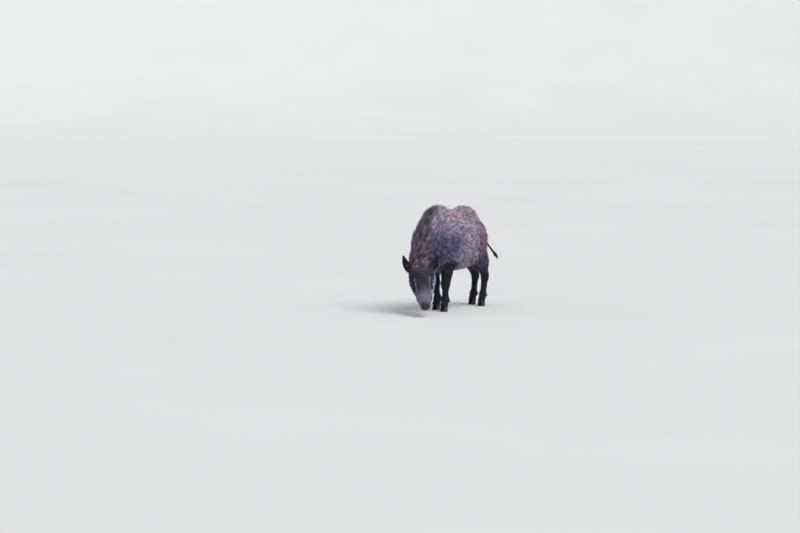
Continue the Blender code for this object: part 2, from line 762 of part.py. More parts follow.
def main():
    clear_scene()
    flesh = make_flesh()
    make_snout_disc()
    for side in SIDES:
        fit_over(flesh["head"], make_eye(side))
        ear = make_ear(side)
        fit_over(ear, flesh["head"])
        fit_over(ear, flesh["neck"])
    for foot in FOOT_AHEAD:
        end, side = foot.split("_")
        make_foot(foot, flesh[{"front": "foreleg_", "hind": "hindleg_"}[end] + side])
    fit_over(make_tail(), flesh["trunk"])
    for obj in bpy.data.objects:
        finish(obj)
    stand_on_origin()


main()
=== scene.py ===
"""A young wild boar as a still, life-size museum model: its skin, coat, eyes and hooves.

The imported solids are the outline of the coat. The skin is drawn over them and let in by the depth of the
coat, and the hair stands on it lock by lock. Metres, +Z up; the boar faces -Y and its left side is +X.
"""

import math
from contextlib import contextmanager

import bmesh
import bpy
import numpy as np
from mathutils import Matrix, Vector
from mathutils.bvhtree import BVHTree
from mathutils.kdtree import KDTree


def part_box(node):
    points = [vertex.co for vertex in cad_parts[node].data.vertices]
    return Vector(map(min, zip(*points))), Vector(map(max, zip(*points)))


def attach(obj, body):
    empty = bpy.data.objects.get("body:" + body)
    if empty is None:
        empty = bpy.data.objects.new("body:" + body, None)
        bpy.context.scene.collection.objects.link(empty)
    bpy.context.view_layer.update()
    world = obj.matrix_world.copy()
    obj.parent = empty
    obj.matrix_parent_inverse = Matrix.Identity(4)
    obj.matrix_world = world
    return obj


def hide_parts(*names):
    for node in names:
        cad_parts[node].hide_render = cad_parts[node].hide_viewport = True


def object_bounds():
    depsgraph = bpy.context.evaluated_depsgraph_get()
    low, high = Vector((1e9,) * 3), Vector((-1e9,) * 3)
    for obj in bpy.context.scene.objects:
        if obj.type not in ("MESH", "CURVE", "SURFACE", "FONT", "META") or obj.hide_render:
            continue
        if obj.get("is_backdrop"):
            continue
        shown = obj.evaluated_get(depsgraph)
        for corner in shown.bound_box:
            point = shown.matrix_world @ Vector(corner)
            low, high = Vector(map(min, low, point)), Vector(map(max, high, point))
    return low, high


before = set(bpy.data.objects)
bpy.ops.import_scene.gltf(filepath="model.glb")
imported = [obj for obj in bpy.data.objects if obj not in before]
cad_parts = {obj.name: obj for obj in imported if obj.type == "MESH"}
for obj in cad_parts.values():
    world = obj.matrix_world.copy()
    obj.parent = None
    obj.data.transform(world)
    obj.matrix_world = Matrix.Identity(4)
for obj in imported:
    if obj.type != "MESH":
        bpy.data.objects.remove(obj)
cad_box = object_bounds()

rng = np.random.default_rng(20)
SIDES = {"left": 1.0, "right": -1.0}
FLESH = ["trunk", "neck", "head", "snout_disc", "tail"]
FLESH += [f"{part}_{side}" for part in ("foreleg", "hindleg", "ear") for side in SIDES]

# The cells that skin and hooves are drawn in, and the triangles that the skin ends with.
SKIN_CELL, HOOF_CELL = 0.0036, 0.0011
SKIN_TRIANGLES = 188000
# How far the pieces of flesh are swelled so that their cuts close, and how much lower a hoof's heel is made.
CUT_CLOSING, HEEL_DROP = 0.0006, 0.26

# The head's own measures: how far ahead of the poll and above it the eyes and the snout disc are, how the
# disc slopes, how far out a nostril is, and an eyeball's radius.
EYES_AHEAD, EYES_UP = 0.112, -0.0345
DISC_AHEAD, DISC_UP = 0.275, -0.0430
DISC_SLOPE = 0.22
NOSTRIL_SIDE = 0.0098
EYE_RADIUS = 0.0100

# How deep the coat lies over each piece of flesh.
COAT_DEPTH = {
    "trunk": 0.0145, "neck": 0.0150, "head": 0.0030, "snout_disc": 0.0004, "tail": 0.0030,
    "foreleg": 0.0050, "hindleg": 0.0065, "ear": 0.0011,
}

# The camera: a long lens from the front left, a little above.
CAMERA_TURN, CAMERA_RISE = math.radians(32.0), math.radians(4.5)
CAMERA_DISTANCE, LENS, SENSOR = 16.58, 135.0, 36.0
LOOKED_AT = Vector((-0.021, 0.1095, 0.0))
# The place looked at lies this far to the right of the picture's middle, and this far below it.
RIGHT_OF_MIDDLE, BELOW_MIDDLE = 0.302861, 0.232120

# The studio: a flat round floor, the curve at its edge, and its lamps, each with the way to it, its strength
# and how broad it is in degrees.
FLOOR_RADIUS, FLOOR_CURVE, FLOOR_SIDES = 26.0, 14.0, 96
LAMPS = {"key_light": ((0.75, -0.10, 1.05), 1.95, 40.0), "front_light": ((0.30, -0.90, 0.80), 0.30, 60.0)}
SKY_COLOUR, SKY_STRENGTH = (0.95, 0.965, 1.0, 1.0), 0.55


# ---- small sums


def unit(vectors):
    return vectors / np.maximum(np.linalg.norm(vectors, axis=-1, keepdims=True), 1e-12)


def size(vectors):
    return np.linalg.norm(vectors, axis=1)


def dot(first, second):
    return (first * second).sum(axis=-1, keepdims=True)


def ramp(values, low, high):
    """0 below low, 1 above high, and a smooth rise between them. It falls instead if low is above high."""
    share = np.clip((values - low) / (high - low), 0.0, 1.0)
    return share * share * (3 - 2 * share)


def bump_at(values, middle, width):
    return np.exp(-(((values - middle) / width) ** 2))


def from_line(points, line):
    """How far each point is from a line of corners, and how far along it, 0 to 1, the nearest place is."""
    line = np.array(line, float)
    best, where = np.full(len(points), np.inf), np.zeros(len(points))
    for k, (start, end) in enumerate(zip(line[:-1], line[1:])):
        run = end - start
        share = np.clip((points - start) @ run / (run @ run), 0.0, 1.0)
        away = size(points - start - share[:, None] * run)
        nearer = away < best
        best[nearer], where[nearer] = away[nearer], (k + share[nearer]) / (len(line) - 1)
    return best, where


def middle_of(node):
    low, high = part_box(node)
    return np.array((low + high) / 2)


# ---- the head's own frame


def head_frame():
    """The poll's place, and the head's directions left, ahead along the face and up from the forehead."""
    left_eye, right_eye, disc = map(middle_of, ("eye_left", "eye_right", "snout_disc"))
    left = unit(left_eye - right_eye)
    between = (left_eye + right_eye) / 2
    line = disc - between
    line = unit(line - left * (line @ left))
    above = np.cross(line, left)
    drop = math.atan2(DISC_UP - EYES_UP, DISC_AHEAD - EYES_AHEAD)
    ahead = line * math.cos(drop) - above * math.sin(drop)
    up = line * math.sin(drop) + above * math.cos(drop)
    return between - ahead * EYES_AHEAD - up * EYES_UP, np.stack([left, ahead, up])


POLL, HEAD_AXES = head_frame()


def in_head(points):
    """Points as distances to the head's left, ahead of its poll and up from it."""
    return (points - POLL) @ HEAD_AXES.T


def from_head(left, ahead, up):
    return POLL + np.array([left, ahead, up]) @ HEAD_AXES


# ---- meshes


def add_object(name, mesh):
    made = bpy.data.objects.new(name, mesh)
    bpy.context.scene.collection.objects.link(made)
    return made


@contextmanager
def edited(data):
    """A mesh open for editing, and written back at the end."""
    mesh = bmesh.new()
    mesh.from_mesh(data)
    yield mesh
    mesh.to_mesh(data)
    mesh.free()


def apply_modifiers(obj):
    bpy.context.view_layer.update()
    graph = bpy.context.evaluated_depsgraph_get()
    mesh = bpy.data.meshes.new_from_object(obj.evaluated_get(graph))
    obj.modifiers.clear()
    obj.data = mesh


def read(collection, field, width, kind=np.float64):
    values = np.empty(len(collection) * width, np.float32 if kind is np.float64 else kind)
    collection.foreach_get(field, values)
    return values.astype(kind).reshape(-1, width)


def triangle_mesh(name, points, triangles):
    mesh = bpy.data.meshes.new(name)
    mesh.vertices.add(len(points))
    mesh.vertices.foreach_set("co", np.asarray(points, np.float32).ravel())
    mesh.loops.add(3 * len(triangles))
    mesh.loops.foreach_set("vertex_index", np.asarray(triangles, np.int32).ravel())
    mesh.polygons.add(len(triangles))
    mesh.polygons.foreach_set("loop_start", np.arange(0, 3 * len(triangles), 3, dtype=np.int32))
    mesh.update(calc_edges=True)
    mesh.shade_smooth()
    return mesh


def remesh(obj, cell):
    """Draws an object's surface again in even cells of this size."""
    modifier = obj.modifiers.new("Remesh", "REMESH")
    modifier.mode = "VOXEL"
    modifier.voxel_size = cell
    apply_modifiers(obj)


def note(mesh, name, values):
    """Stores a number or a triple for each corner point of a mesh, for its finish to read."""
    kind, field = ("FLOAT", "value") if values.ndim == 1 else ("FLOAT_VECTOR", "vector")
    attribute = mesh.attributes.new(name, kind, "POINT")
    attribute.data.foreach_set(field, np.asarray(values, np.float32).ravel())


def note_marks(mesh, marks):
    """Stores the markings, three to an attribute."""
    for k in range(0, len(MARKS), 3):
        note(mesh, f"marks_{k // 3}", marks[:, k : k + 3])


class Surface:
    """A mesh as arrays: its points, edges and triangles, and values that live on its points."""

    def __init__(self, obj):
        mesh = obj.data
        mesh.calc_loop_triangles()
        self.obj = obj
        self.points = read(mesh.vertices, "co", 3)
        self.edges = read(mesh.edges, "vertices", 2, np.int32)
        self.triangles = read(mesh.loop_triangles, "vertices", 3, np.int32)
        self.degree = np.maximum(np.bincount(self.edges.ravel(), minlength=len(self.points)), 1)

    def spread(self, values, rounds, share=0.5):
        """Values evened out between neighbours, this many times."""
        first, second = self.edges.T
        flat = values.reshape(len(self.points), -1)
        share = np.broadcast_to(np.asarray(share, float).reshape(-1, 1), (len(flat), 1))
        for _ in range(rounds):
            sums = [
                np.bincount(first, column[second], len(flat)) + np.bincount(second, column[first], len(flat))
                for column in flat.T
            ]
            flat = flat * (1 - share) + np.stack(sums, axis=1) / self.degree[:, None] * share
        return flat.reshape(values.shape)

    def smooth(self, rounds, share, back=-0.53):
        """Evens out the form with little loss of size. share may differ from point to point."""
        for _ in range(rounds):
            self.points = self.spread(self.points, 1, share * 0.5)
            self.points = self.spread(self.points, 1, share * back)

    def normals(self):
        corner = self.points[self.triangles]
        face = np.cross(corner[:, 1] - corner[:, 0], corner[:, 2] - corner[:, 0])
        total = [
            sum(np.bincount(self.triangles[:, k], face[:, axis], len(self.points)) for k in range(3))
            for axis in range(3)
        ]
        return unit(np.stack(total, axis=1))

    def write(self):
        self.obj.data.vertices.foreach_set("co", self.points.astype(np.float32).ravel())
        self.obj.data.update()


# ---- the skin


def drawn_over_flesh():
    """One closed mesh over all the flesh and the eyeballs, with the cuts between the pieces closed."""
    data = bpy.data.meshes.new("skin")
    with edited(data) as mesh:
        for node in FLESH:
            mesh.from_mesh(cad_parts[node].data)
        bmesh.ops.remove_doubles(mesh, verts=mesh.verts, dist=1e-5)
        mesh.normal_update()
        for corner in mesh.verts:
            corner.co += corner.normal * CUT_CLOSING
        for side in SIDES:
            place = Matrix.Translation(middle_of("eye_" + side))
            bmesh.ops.create_icosphere(mesh, subdivisions=4, radius=EYE_RADIUS + 0.0010, matrix=place)
    obj = add_object("skin", data)
    remesh(obj, SKIN_CELL)
    return obj


def keep_outer(obj):
    """Deletes what the remesh left loose inside."""
    form = Surface(obj)
    label = np.arange(len(form.points))
    settled = False
    while not settled:
        low = label[form.edges].min(axis=1)
        lower = label.copy()
        for end in form.edges.T:
            np.minimum.at(lower, end, low)
        lower = lower[lower]
        settled = bool((lower == label).all())
        label = lower
    outer = np.bincount(label).argmax()
    with edited(obj.data) as mesh:
        bmesh.ops.delete(mesh, geom=[v for v in mesh.verts if label[v.index] != outer])


def thin_out(obj):
    """Merges the flattest of the skin's faces, away from the eyes, lips and snout disc."""
    points = read(obj.data.vertices, "co", 3)
    head = in_head(points)
    kept = (from_face_line(head, LIPS)[0] < 0.008) | ((behind_disc(head) < 0.014) & (head[:, 2] > -0.10))
    for side in SIDES:
        kept |= size(eye_place(points, side)) < 0.020
    group = obj.vertex_groups.new(name="thinned")
    group.add(np.flatnonzero(~kept).tolist(), 1.0, "REPLACE")
    obj.data.calc_loop_triangles()
    modifier = obj.modifiers.new("Decimate", "DECIMATE")
    modifier.ratio = SKIN_TRIANGLES / len(obj.data.loop_triangles)
    modifier.vertex_group = group.name
    apply_modifiers(obj)
    obj.vertex_groups.clear()


def divide(obj, wanted):
    """Halves every edge of a mesh whose ends are both among the wanted points."""
    with edited(obj.data) as mesh:
        edges = [e for e in mesh.edges if wanted[e.verts[0].index] and wanted[e.verts[1].index]]
        bmesh.ops.subdivide_edges(mesh, edges=edges, cuts=1, use_grid_fill=True)
        bmesh.ops.triangulate(mesh, faces=[f for f in mesh.faces if len(f.verts) > 4])


def flesh_under(points):
    """For each point, the place in FLESH of the piece that it is nearest to."""
    corners, faces, owner, count = [], [], [], 0
    for k, node in enumerate(FLESH):
        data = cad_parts[node].data
        data.calc_loop_triangles()
        triangles = read(data.loop_triangles, "vertices", 3, np.int32)
        corners.append(read(data.vertices, "co", 3))
        faces.append(triangles + count)
        owner.append(np.full(len(triangles), k))
        count += len(data.vertices)
    tree = BVHTree.FromPolygons(np.concatenate(corners).tolist(), np.concatenate(faces).tolist())
    owner = np.concatenate(owner)
    return np.array([owner[tree.find_nearest(p)[2]] for p in points.tolist()])


def eye_frame(side):
    """The eyeball's middle, and its directions to the front corner, to the upper lid and outwards."""
    sign = SIDES[side]
    out = unit(np.array([sign * 0.88, 0.30, 0.36]) @ HEAD_AXES)
    forward = np.array([0.0, 0.95, -0.32]) @ HEAD_AXES
    forward = unit(forward - out * (forward @ out))
    upward = np.cross(forward, out) * sign
    return middle_of("eye_" + side), np.stack([forward, upward, out])


EYE_FRAMES = {side: eye_frame(side) for side in SIDES}


def lid_opening(angle):
    """How far the edge of the lids is from the middle of the eye, for a direction in the eye's plane."""
    across, tall = np.cos(angle), np.sin(angle)
    height = np.where(tall > 0, 0.0062, 0.0050)
    oval = 1.0 / np.sqrt((across / 0.0090) ** 2 + (tall / height) ** 2)
    return oval * (1 + 0.06 * bump_at(np.abs(across), 1.0, 0.10))


# Lines on both sides of the face, as distances ahead of the poll and above it.
LIPS = [
    (0.264, -0.0655), (0.245, -0.0670), (0.220, -0.0700),
    (0.190, -0.0745), (0.165, -0.0790), (0.148, -0.0765),
]
UPPER_LIP = [(0.238, -0.058), (0.200, -0.062), (0.172, -0.067)]
BROW = [(0.136, -0.024), (0.114, -0.0150), (0.088, -0.018)]
CHEEKBONE = [(0.145, -0.054), (0.105, -0.057), (0.050, -0.048)]
TEMPLE = [(0.082, -0.030), (0.052, -0.020)]
TEAR_HOLLOW = [(0.137, -0.038), (0.168, -0.044)]
SNOUT_GROOVE = [(0.180, -0.042), (0.240, -0.045)]
CHEEK = [(-0.015, -0.050), (0.060, -0.060), (0.110, -0.064), (0.170, -0.060)]

# How wide the form along each line is, and how far it stands up.
FACE_FORMS = (
    (BROW, 0.0085, 0.0042), (CHEEKBONE, 0.0110, 0.0026), (UPPER_LIP, 0.0080, 0.0022),
    (TEMPLE, 0.0110, -0.0028), (TEAR_HOLLOW, 0.0090, -0.0030), (SNOUT_GROOVE, 0.0050, -0.0014),
)
# The wrinkles over the snout, as distances behind the face of its disc.
WRINKLES = (0.0110, 0.0170, 0.0240, 0.0330, 0.0430)


def from_face_line(head, line):
    """from_line for a line on the sides of the face, as they are seen from beside the head."""
    return from_line(head[:, 1:], line)


def behind_disc(head):
    """How far behind the face of the snout disc each point is."""
    return DISC_AHEAD - head[:, 1] - DISC_SLOPE * (head[:, 2] - DISC_UP)


def nostril_ring(head, sign):
    """0 at the middle of a nostril and 1 at its rim."""
    upward = head[:, 2] - DISC_UP + 0.0005
    across = head[:, 0] - sign * NOSTRIL_SIDE - sign * 0.25 * upward
    return np.hypot(across / 0.0040, upward / 0.0058)


def eye_place(points, side):
    """Points as distances to the front corner of an eye, to its upper lid and outwards from its middle."""
    centre, axes = EYE_FRAMES[side]
    return (points - centre) @ axes.T


class Skin(Surface):
    """The boar's skin, with what the coat needs to know at each point."""

    def parts(self, rounds):
        """How much each point belongs to each kind of flesh, from 0 to 1, with soft borders."""
        nearest = flesh_under(self.points)
        kinds = sorted({node.split("_")[0] if node != "snout_disc" else node for node in FLESH})
        share = {}
        for kind in kinds:
            mine = [k for k, node in enumerate(FLESH) if node.startswith(kind)]
            share[kind] = self.spread(np.isin(nearest, mine).astype(float), rounds)
        return share


def make_skin():
    obj = drawn_over_flesh()
    keep_outer(obj)
    skin = Skin(obj)
    part = skin.parts(2)
    divide(obj, part["head"] + part["snout_disc"] > 0.5)
    skin = Skin(obj)
    head = in_head(skin.points)
    fine = (head[:, 1] > 0.235) & (head[:, 2] > -0.085) & (head[:, 2] < 0.01)
    for side in SIDES:
        fine |= size(skin.points - EYE_FRAMES[side][0]) < 0.0165
    fine |= from_face_line(head, LIPS)[0] < 0.006
    divide(obj, fine)
    skin = Skin(obj)

    part = skin.parts(6)
    delicate = np.clip(part["ear"] + part["tail"] + part["snout_disc"], 0, 1)
    on_head = np.clip(part["head"], 0, 1)
    skin.smooth(6, np.clip(1.0 - 0.6 * delicate - 0.1 * on_head, 0.1, 1.0))
    skin.smooth(16, np.clip(1.0 - delicate - on_head, 0.0, 1.0))
    skin.smooth(10, ramp(part["snout_disc"], 0.1, 0.5))
    skin.part = part
    skin.outline = skin.points.copy()
    flatness = size(skin.spread(skin.normals(), 5))
    skin.edge = skin.spread(ramp(flatness, 0.86, 0.74), 1) * ramp(part["ear"], 0.5, 0.9)
    return skin


def let_in(skin):
    """Lets the skin in from the outline by the depth of the coat."""
    part, points = skin.part, skin.points
    _, length, height = points.T
    aside, ahead, up = in_head(points).T
    crest = from_line(points, CREST)[0]
    depth = sum(COAT_DEPTH[kind] * share for kind, share in part.items())
    upper_leg = part["foreleg"] * ramp(height, 0.16, 0.28) + part["hindleg"] * ramp(height, 0.20, 0.34)
    poll = part["head"] * ramp(ahead, 0.045, 0.015) * ramp(np.abs(aside), 0.045, 0.025)
    for deeper, where in (
        (0.0105 * ramp(crest, 0.060, 0.020), part["neck"] + part["trunk"]),
        (0.0060, upper_leg),
        (-0.0022, (part["foreleg"] + part["hindleg"]) * ramp(height, 0.09, 0.04)),
        (-0.0016, part["head"] * ramp(ahead, 0.12, 0.19)),
        (0.0040, part["head"] * ramp(ahead, 0.10, 0.04) * ramp(up, -0.05, -0.09)),
        (0.0050 * poll, ramp(up, -0.05, -0.02)),
    ):
        depth = depth + deeper * where
    depth = skin.spread(np.maximum(depth, 0.0003), 6)
    over_back = np.clip(part["trunk"], 0, 1) * ramp(height, 0.47, 0.54)
    higher = 0.55 * bump_at(length, 0.205, 0.080) - 0.45 * bump_at(length, 0.050, 0.060)
    skin.stand = depth * (1 + over_back * higher)
    normals = unit(skin.spread(skin.normals(), 4))
    skin.points = points - normals * depth[:, None]
    loose = np.clip(part["trunk"] + part["neck"] + part["foreleg"] + part["hindleg"], 0, 1)
    skin.smooth(4, loose)


def crease(skin, normals, away, width, deep):
    """Presses a fold of this width and depth into the skin where away is small."""
    skin.points = skin.points - normals * (deep * np.exp(-((away / width) ** 2)))[:, None]


def shape_face(skin):
    """The bones under the face, the mouth, the wrinkles of the snout, the nostrils and the lids."""
    normals = unit(skin.spread(skin.normals(), 6))
    head = in_head(skin.points)
    aside, _, up = head.T
    on_head = np.clip(skin.part["head"] + skin.part["snout_disc"], 0, 1)
    beside = ramp(np.abs(aside), 0.012, 0.026)
    for line, width, raised in FACE_FORMS:
        crease(skin, normals, from_face_line(head, line)[0], width, -raised * on_head * beside)

    normals = skin.normals()
    away, _ = from_face_line(head, LIPS)
    crease(skin, normals, away, 0.0019, 0.0034 * on_head)
    crease(skin, normals, away - 0.0046, 0.0022, -0.0012 * on_head)

    # wrinkles over the snout behind the disc, deepest on top
    back = behind_disc(head)
    top = ramp(up, -0.055, -0.030)
    for place in WRINKLES:
        wander = 0.0014 * np.sin(aside * 380 + place * 900)
        crease(skin, normals, back - place - wander, 0.0016, 0.0011 * on_head * (0.30 + 0.70 * top))
    crease(skin, normals, back - 0.0072, 0.0016, 0.0018 * on_head)

    # the nostrils, pressed into the disc
    on_disc = ramp(back, 0.0035, 0.0005)
    for sign in SIDES.values():
        ring = nostril_ring(head, sign)
        hole = np.sqrt(np.clip(1 - ring**2, 0, 1))
        lift = bump_at(ring, 1.35, 0.28) * on_disc * 0.0009
        skin.points = skin.points - HEAD_AXES[1] * (0.0085 * hole * on_disc)[:, None]
        skin.points = skin.points + normals * lift[:, None]

    round_eyes = np.zeros(len(skin.points))
    for side in SIDES:
        reach = size(eye_place(skin.points, side))
        round_eyes = np.maximum(round_eyes, ramp(reach, 0.0110, 0.0135) * ramp(reach, 0.030, 0.022))
    skin.smooth(14, round_eyes, back=-0.30)
    for side in SIDES:
        shape_lids(skin, *EYE_FRAMES[side])


def shape_lids(skin, centre, axes):
    """Lays the lids over the eyeball, with a fold above and a pouch below them."""
    offset = skin.points - centre
    reach = size(offset)
    local = offset @ axes.T
    ring = np.hypot(local[:, 0] / 1.22, local[:, 1])
    near = ramp(reach, 0.0300, 0.0180) * ramp(local[:, 2], -0.004, 0.002)
    out = unit(offset)
    above = ramp(local[:, 1], -0.002, 0.003)
    fold = 0.0014 * bump_at(ring, 0.0122, 0.0012) * (0.35 + 0.65 * above)
    hood = 0.0026 * bump_at(ring, 0.0150, 0.0026) * above
    pouch = 0.0014 * bump_at(ring, 0.0140, 0.0018) * (1 - above)
    second = 0.0012 * bump_at(ring, 0.0172, 0.0012) * (1 - above)
    skin.points = skin.points + out * ((hood + pouch - fold - second) * near)[:, None]
    # no point of the skin dips into the ball
    offset = skin.points - centre
    reach = np.linalg.norm(offset, axis=1, keepdims=True)
    facing = (offset @ axes[2]) > -0.002
    least = EYE_RADIUS + 0.0009
    inside = (reach[:, 0] < least) & facing
    skin.points[inside] = centre + (offset / reach)[inside] * least


def open_lids(skin):
    """Cuts the openings between the lids and turns their edges in to the eyeballs."""
    skin.write()
    with edited(skin.obj.data) as mesh:
        for centre, axes in EYE_FRAMES.values():
            cut_lids(mesh, centre, axes)


def cut_lids(mesh, centre, axes):
    """Cuts one eye's opening. What is near the eye is gone through in order, so each run is alike."""
    near = {}
    for vert in mesh.verts:
        offset = np.array(vert.co) - centre
        if offset @ offset < 0.016**2:
            near[vert] = axes @ offset
    gone = []
    for face in dict.fromkeys(f for v in near for f in v.link_faces):
        spots = [near.get(v) for v in face.verts]
        if any(s is None or s[2] < 0 for s in spots):
            continue
        middle = np.mean(spots, axis=0)
        if math.hypot(middle[0], middle[1]) < lid_opening(math.atan2(middle[1], middle[0])):
            gone.append(face)
    bmesh.ops.delete(mesh, geom=gone, context="FACES")
    rim = list(dict.fromkeys(e for v in near if v.is_valid for e in v.link_edges if e.is_boundary))
    for vert in dict.fromkeys(v for e in rim for v in e.verts):
        spot = axes @ (np.array(vert.co) - centre)
        angle = math.atan2(spot[1], spot[0])
        radius = float(lid_opening(angle))
        flat = np.array([math.cos(angle), math.sin(angle)]) * radius
        out = math.sqrt(max((EYE_RADIUS + 0.0007) ** 2 - radius**2, 0.0))
        vert.co = Vector(centre + axes.T @ np.array([flat[0], flat[1], out]))
    turned = bmesh.ops.extrude_edge_only(mesh, edges=rim)
    for vert in [g for g in turned["geom"] if isinstance(g, bmesh.types.BMVert)]:
        offset = np.array(vert.co) - centre
        vert.co = Vector(centre + offset * ((EYE_RADIUS - 0.0012) / np.linalg.norm(offset)))


# ---- lines that the coat follows

WITHERS = np.array([-0.021, -0.086, 0.556])
CREST = [
    from_head(0, -0.010, -0.020), np.array([-0.028, -0.232, 0.400]), np.array([-0.022, -0.165, 0.505]),
    WITHERS, np.array([-0.021, 0.010, 0.548]),
]


def ear_line(side):
    """The root and the tip of an ear."""
    points = read(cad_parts["ear_" + side].data.vertices, "co", 3)
    reach = size(points - POLL)
    near = points[reach < np.quantile(reach, 0.15)]
    return near.mean(axis=0), points[reach.argmax()]


EAR_LINES = {side: ear_line(side) for side in SIDES}


def tail_line():
    points = read(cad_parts["tail"].data.vertices, "co", 3)
    order = points[:, 1] - points[:, 2]
    shares = np.quantile(order, [0.0, 0.25, 0.5, 0.75, 1.0])
    return [points[np.abs(order - share) < 0.02].mean(axis=0) for share in shares]


TAIL = tail_line()


def set_lie(skin):
    """The way that the hair lies at each point of the skin."""
    points, part = skin.points, skin.part
    aside, ahead, _ = in_head(points).T
    _, length, height = points.T
    side = np.sign(points[:, 0] - WITHERS[0])
    back = np.array([0.0, 1.0, 0.0])
    down = np.array([0.0, 0.0, -1.0])

    slant = 0.42 * ramp(height, 0.54, 0.42) * ramp(height, 0.20, 0.28)
    slant = slant + 0.75 * ramp(length, -0.06, -0.18) * ramp(height, 0.50, 0.36)
    slant = slant + 1.30 * ramp(length, 0.27, 0.38)
    trunk = back + down * slant[:, None]

    along_neck = unit(WITHERS - from_head(0, 0, -0.03))
    low = ramp(height, 0.42, 0.26)
    neck = along_neck + down * (0.25 * low)[:, None] + back * 0.35

    nose_to_poll = -HEAD_AXES[1]
    cheek = ramp(np.abs(aside), 0.020, 0.050) * ramp(ahead, 0.16, 0.08)
    face = nose_to_poll - HEAD_AXES[2] * (0.45 * cheek)[:, None]
    face = face + HEAD_AXES[0] * (0.35 * np.sign(aside) * ramp(ahead, 0.20, 0.10))[:, None]

    leg = down + back * 0.12
    ears = np.zeros_like(points)
    for name, (root, tip) in EAR_LINES.items():
        ears[np.sign(aside) == SIDES[name]] = unit(tip - root)
    _, share = from_line(points, TAIL)
    runs = unit(np.diff(np.array(TAIL), axis=0))
    tail = runs[np.minimum((share * len(runs)).astype(int), len(runs) - 1)]

    lie = (
        trunk * part["trunk"][:, None] + neck * part["neck"][:, None] + face * part["head"][:, None]
        + leg * (part["foreleg"] + part["hindleg"])[:, None] + ears * part["ear"][:, None]
        + tail * part["tail"][:, None] + face * part["snout_disc"][:, None]
    )
    normals = skin.normals()
    skin.normal = unit(skin.spread(normals, 2))
    lie = unit(lie - skin.normal * dot(lie, skin.normal))
    lie = skin.spread(lie, 10)
    skin.lie = unit(lie - skin.normal * dot(lie, skin.normal))
    skin.side = side
    facing = unit(np.array([0.0, 0.85, 0.40]) + np.sign(aside)[:, None] * [0.35, 0.0, 0.0]) @ HEAD_AXES
    skin.in_ear = ramp(dot(skin.normal, facing)[:, 0], 0.20, 0.60) * part["ear"] * (1 - skin.edge)
    skin.tree = KDTree(len(points))
    for k, point in enumerate(points.tolist()):
        skin.tree.insert(point, k)
    skin.tree.balance()


# ---- markings

ELBOWS = ([0.085, -0.066, 0.272], [-0.127, -0.066, 0.272])
# Markings of the coat and skin. socket and rim carry painted shade and painted light as well as the coat's
# own colours.
MARKS = (
    "back", "shoulder", "belly", "rump", "mane", "nape", "elbow", "leg", "thigh", "face", "muzzle", "poll",
    "rim", "ear", "socket",
)


def set_marks(skin):
    """How much of each marking is at each point of the skin, from 0 to 1."""
    points, part = skin.outline, skin.part
    head = in_head(points)
    aside, ahead, up = head.T
    _, length, height = points.T
    on_head = np.clip(part["head"] + part["snout_disc"], 0, 1)
    on_body = np.clip(part["trunk"] + part["neck"], 0, 1)
    on_legs = part["foreleg"] + part["hindleg"]
    crest = from_line(points, CREST)[0]
    mark = {}
    mark["back"] = on_body * ramp(height, 0.46, 0.545)
    mark["shoulder"] = on_body * ramp(length, 0.05, -0.10) * ramp(height, 0.50, 0.38)
    mark["belly"] = on_body * ramp(height, 0.34, 0.27) * ramp(length, 0.0, 0.09)
    rump = ramp(length, 0.04, 0.30) * ramp(height, 0.24, 0.31) * (1 - 0.6 * ramp(height, 0.46, 0.55))
    mark["rump"] = rump * np.clip(on_body + part["hindleg"] + part["tail"], 0, 1)
    skin.mane = on_body * ramp(crest, 0.064, 0.028) * ramp(length, -0.060, -0.120)
    mark["mane"] = skin.mane * ramp(length, -0.115, -0.185)
    mark["nape"] = skin.mane * ramp(height, 0.44, 0.36) * (1 - 0.55 * ramp(crest, 0.020, 0.006))
    elbow = np.minimum(*[size((points - place) * [0.8, 0.8, 1.5]) for place in ELBOWS])
    mark["elbow"] = ramp(elbow, 0.066, 0.036)
    down_tail = part["tail"] * ramp(from_line(points, TAIL)[1], 0.0, 0.42)
    mark["leg"] = np.clip(on_legs * ramp(height, 0.34, 0.22) + down_tail, 0, 1)
    mark["thigh"] = part["hindleg"] * ramp(height, 0.17, 0.26) * ramp(height, 0.37, 0.29)
    mark["face"] = on_head
    over_jaw = 0.40 + 0.60 * ramp(up, -0.080, -0.062)
    mark["muzzle"] = on_head * np.clip((ahead - 0.125) / 0.090, 0, 1) ** 1.3 * over_jaw
    poll = ramp(ahead, 0.062, 0.012) * ramp(ahead, -0.070, -0.020)
    mark["poll"] = poll * ramp(np.abs(aside), 0.055, 0.024) * ramp(up, -0.06, -0.02)
    cheek = ramp(np.abs(aside), 0.030, 0.050) * ramp(from_face_line(head, CHEEK)[0], 0.034, 0.010)
    # The pale streak along the cheek is partly the coat's own paler cheek and partly painted light where the
    # cheek is lit; on the right side of the head it is kept weaker, as painted shade.
    cheek = cheek * np.where(aside < 0, 0.30, 1.0)
    # The dark round each eye is dark bare skin and painted shade in the hollow round and under it; round the
    # right eye it is larger and reaches further down, as painted shade on that side of the head.
    socket, ring = np.zeros(len(points)), np.zeros(len(points))
    for side in SIDES:
        forward, above, out = eye_place(points, side).T
        lower = 1.9 if side == "right" else 1.2
        near = np.hypot((forward - 0.005) / 2.1, np.where(above < 0, above / lower, above))
        near = np.where(out > -0.014 * lower, near, 1.0)
        socket = np.maximum(socket, ramp(near, 0.0185, 0.0095))
        ring = np.maximum(ring, bump_at(near, 0.0210, 0.0034) * ramp(above, -0.004, 0.006))
    # Inside the ears the same near-black is painted shade in their hollows.
    mark["socket"] = np.maximum(socket, 0.75 * skin.in_ear)
    # rim holds the cheek streak with its painted light, a pale ring above each eye and the pale edges of the
    # ears.
    mark["rim"] = on_head * np.maximum(cheek, 0.5 * ring) + 0.8 * skin.edge
    mark["ear"] = part["ear"]
    skin.marks = np.clip(np.stack([mark[name] for name in MARKS], axis=1), 0, 1)
    skin.mark = dict(zip(MARKS, skin.marks.T))


# ---- hair

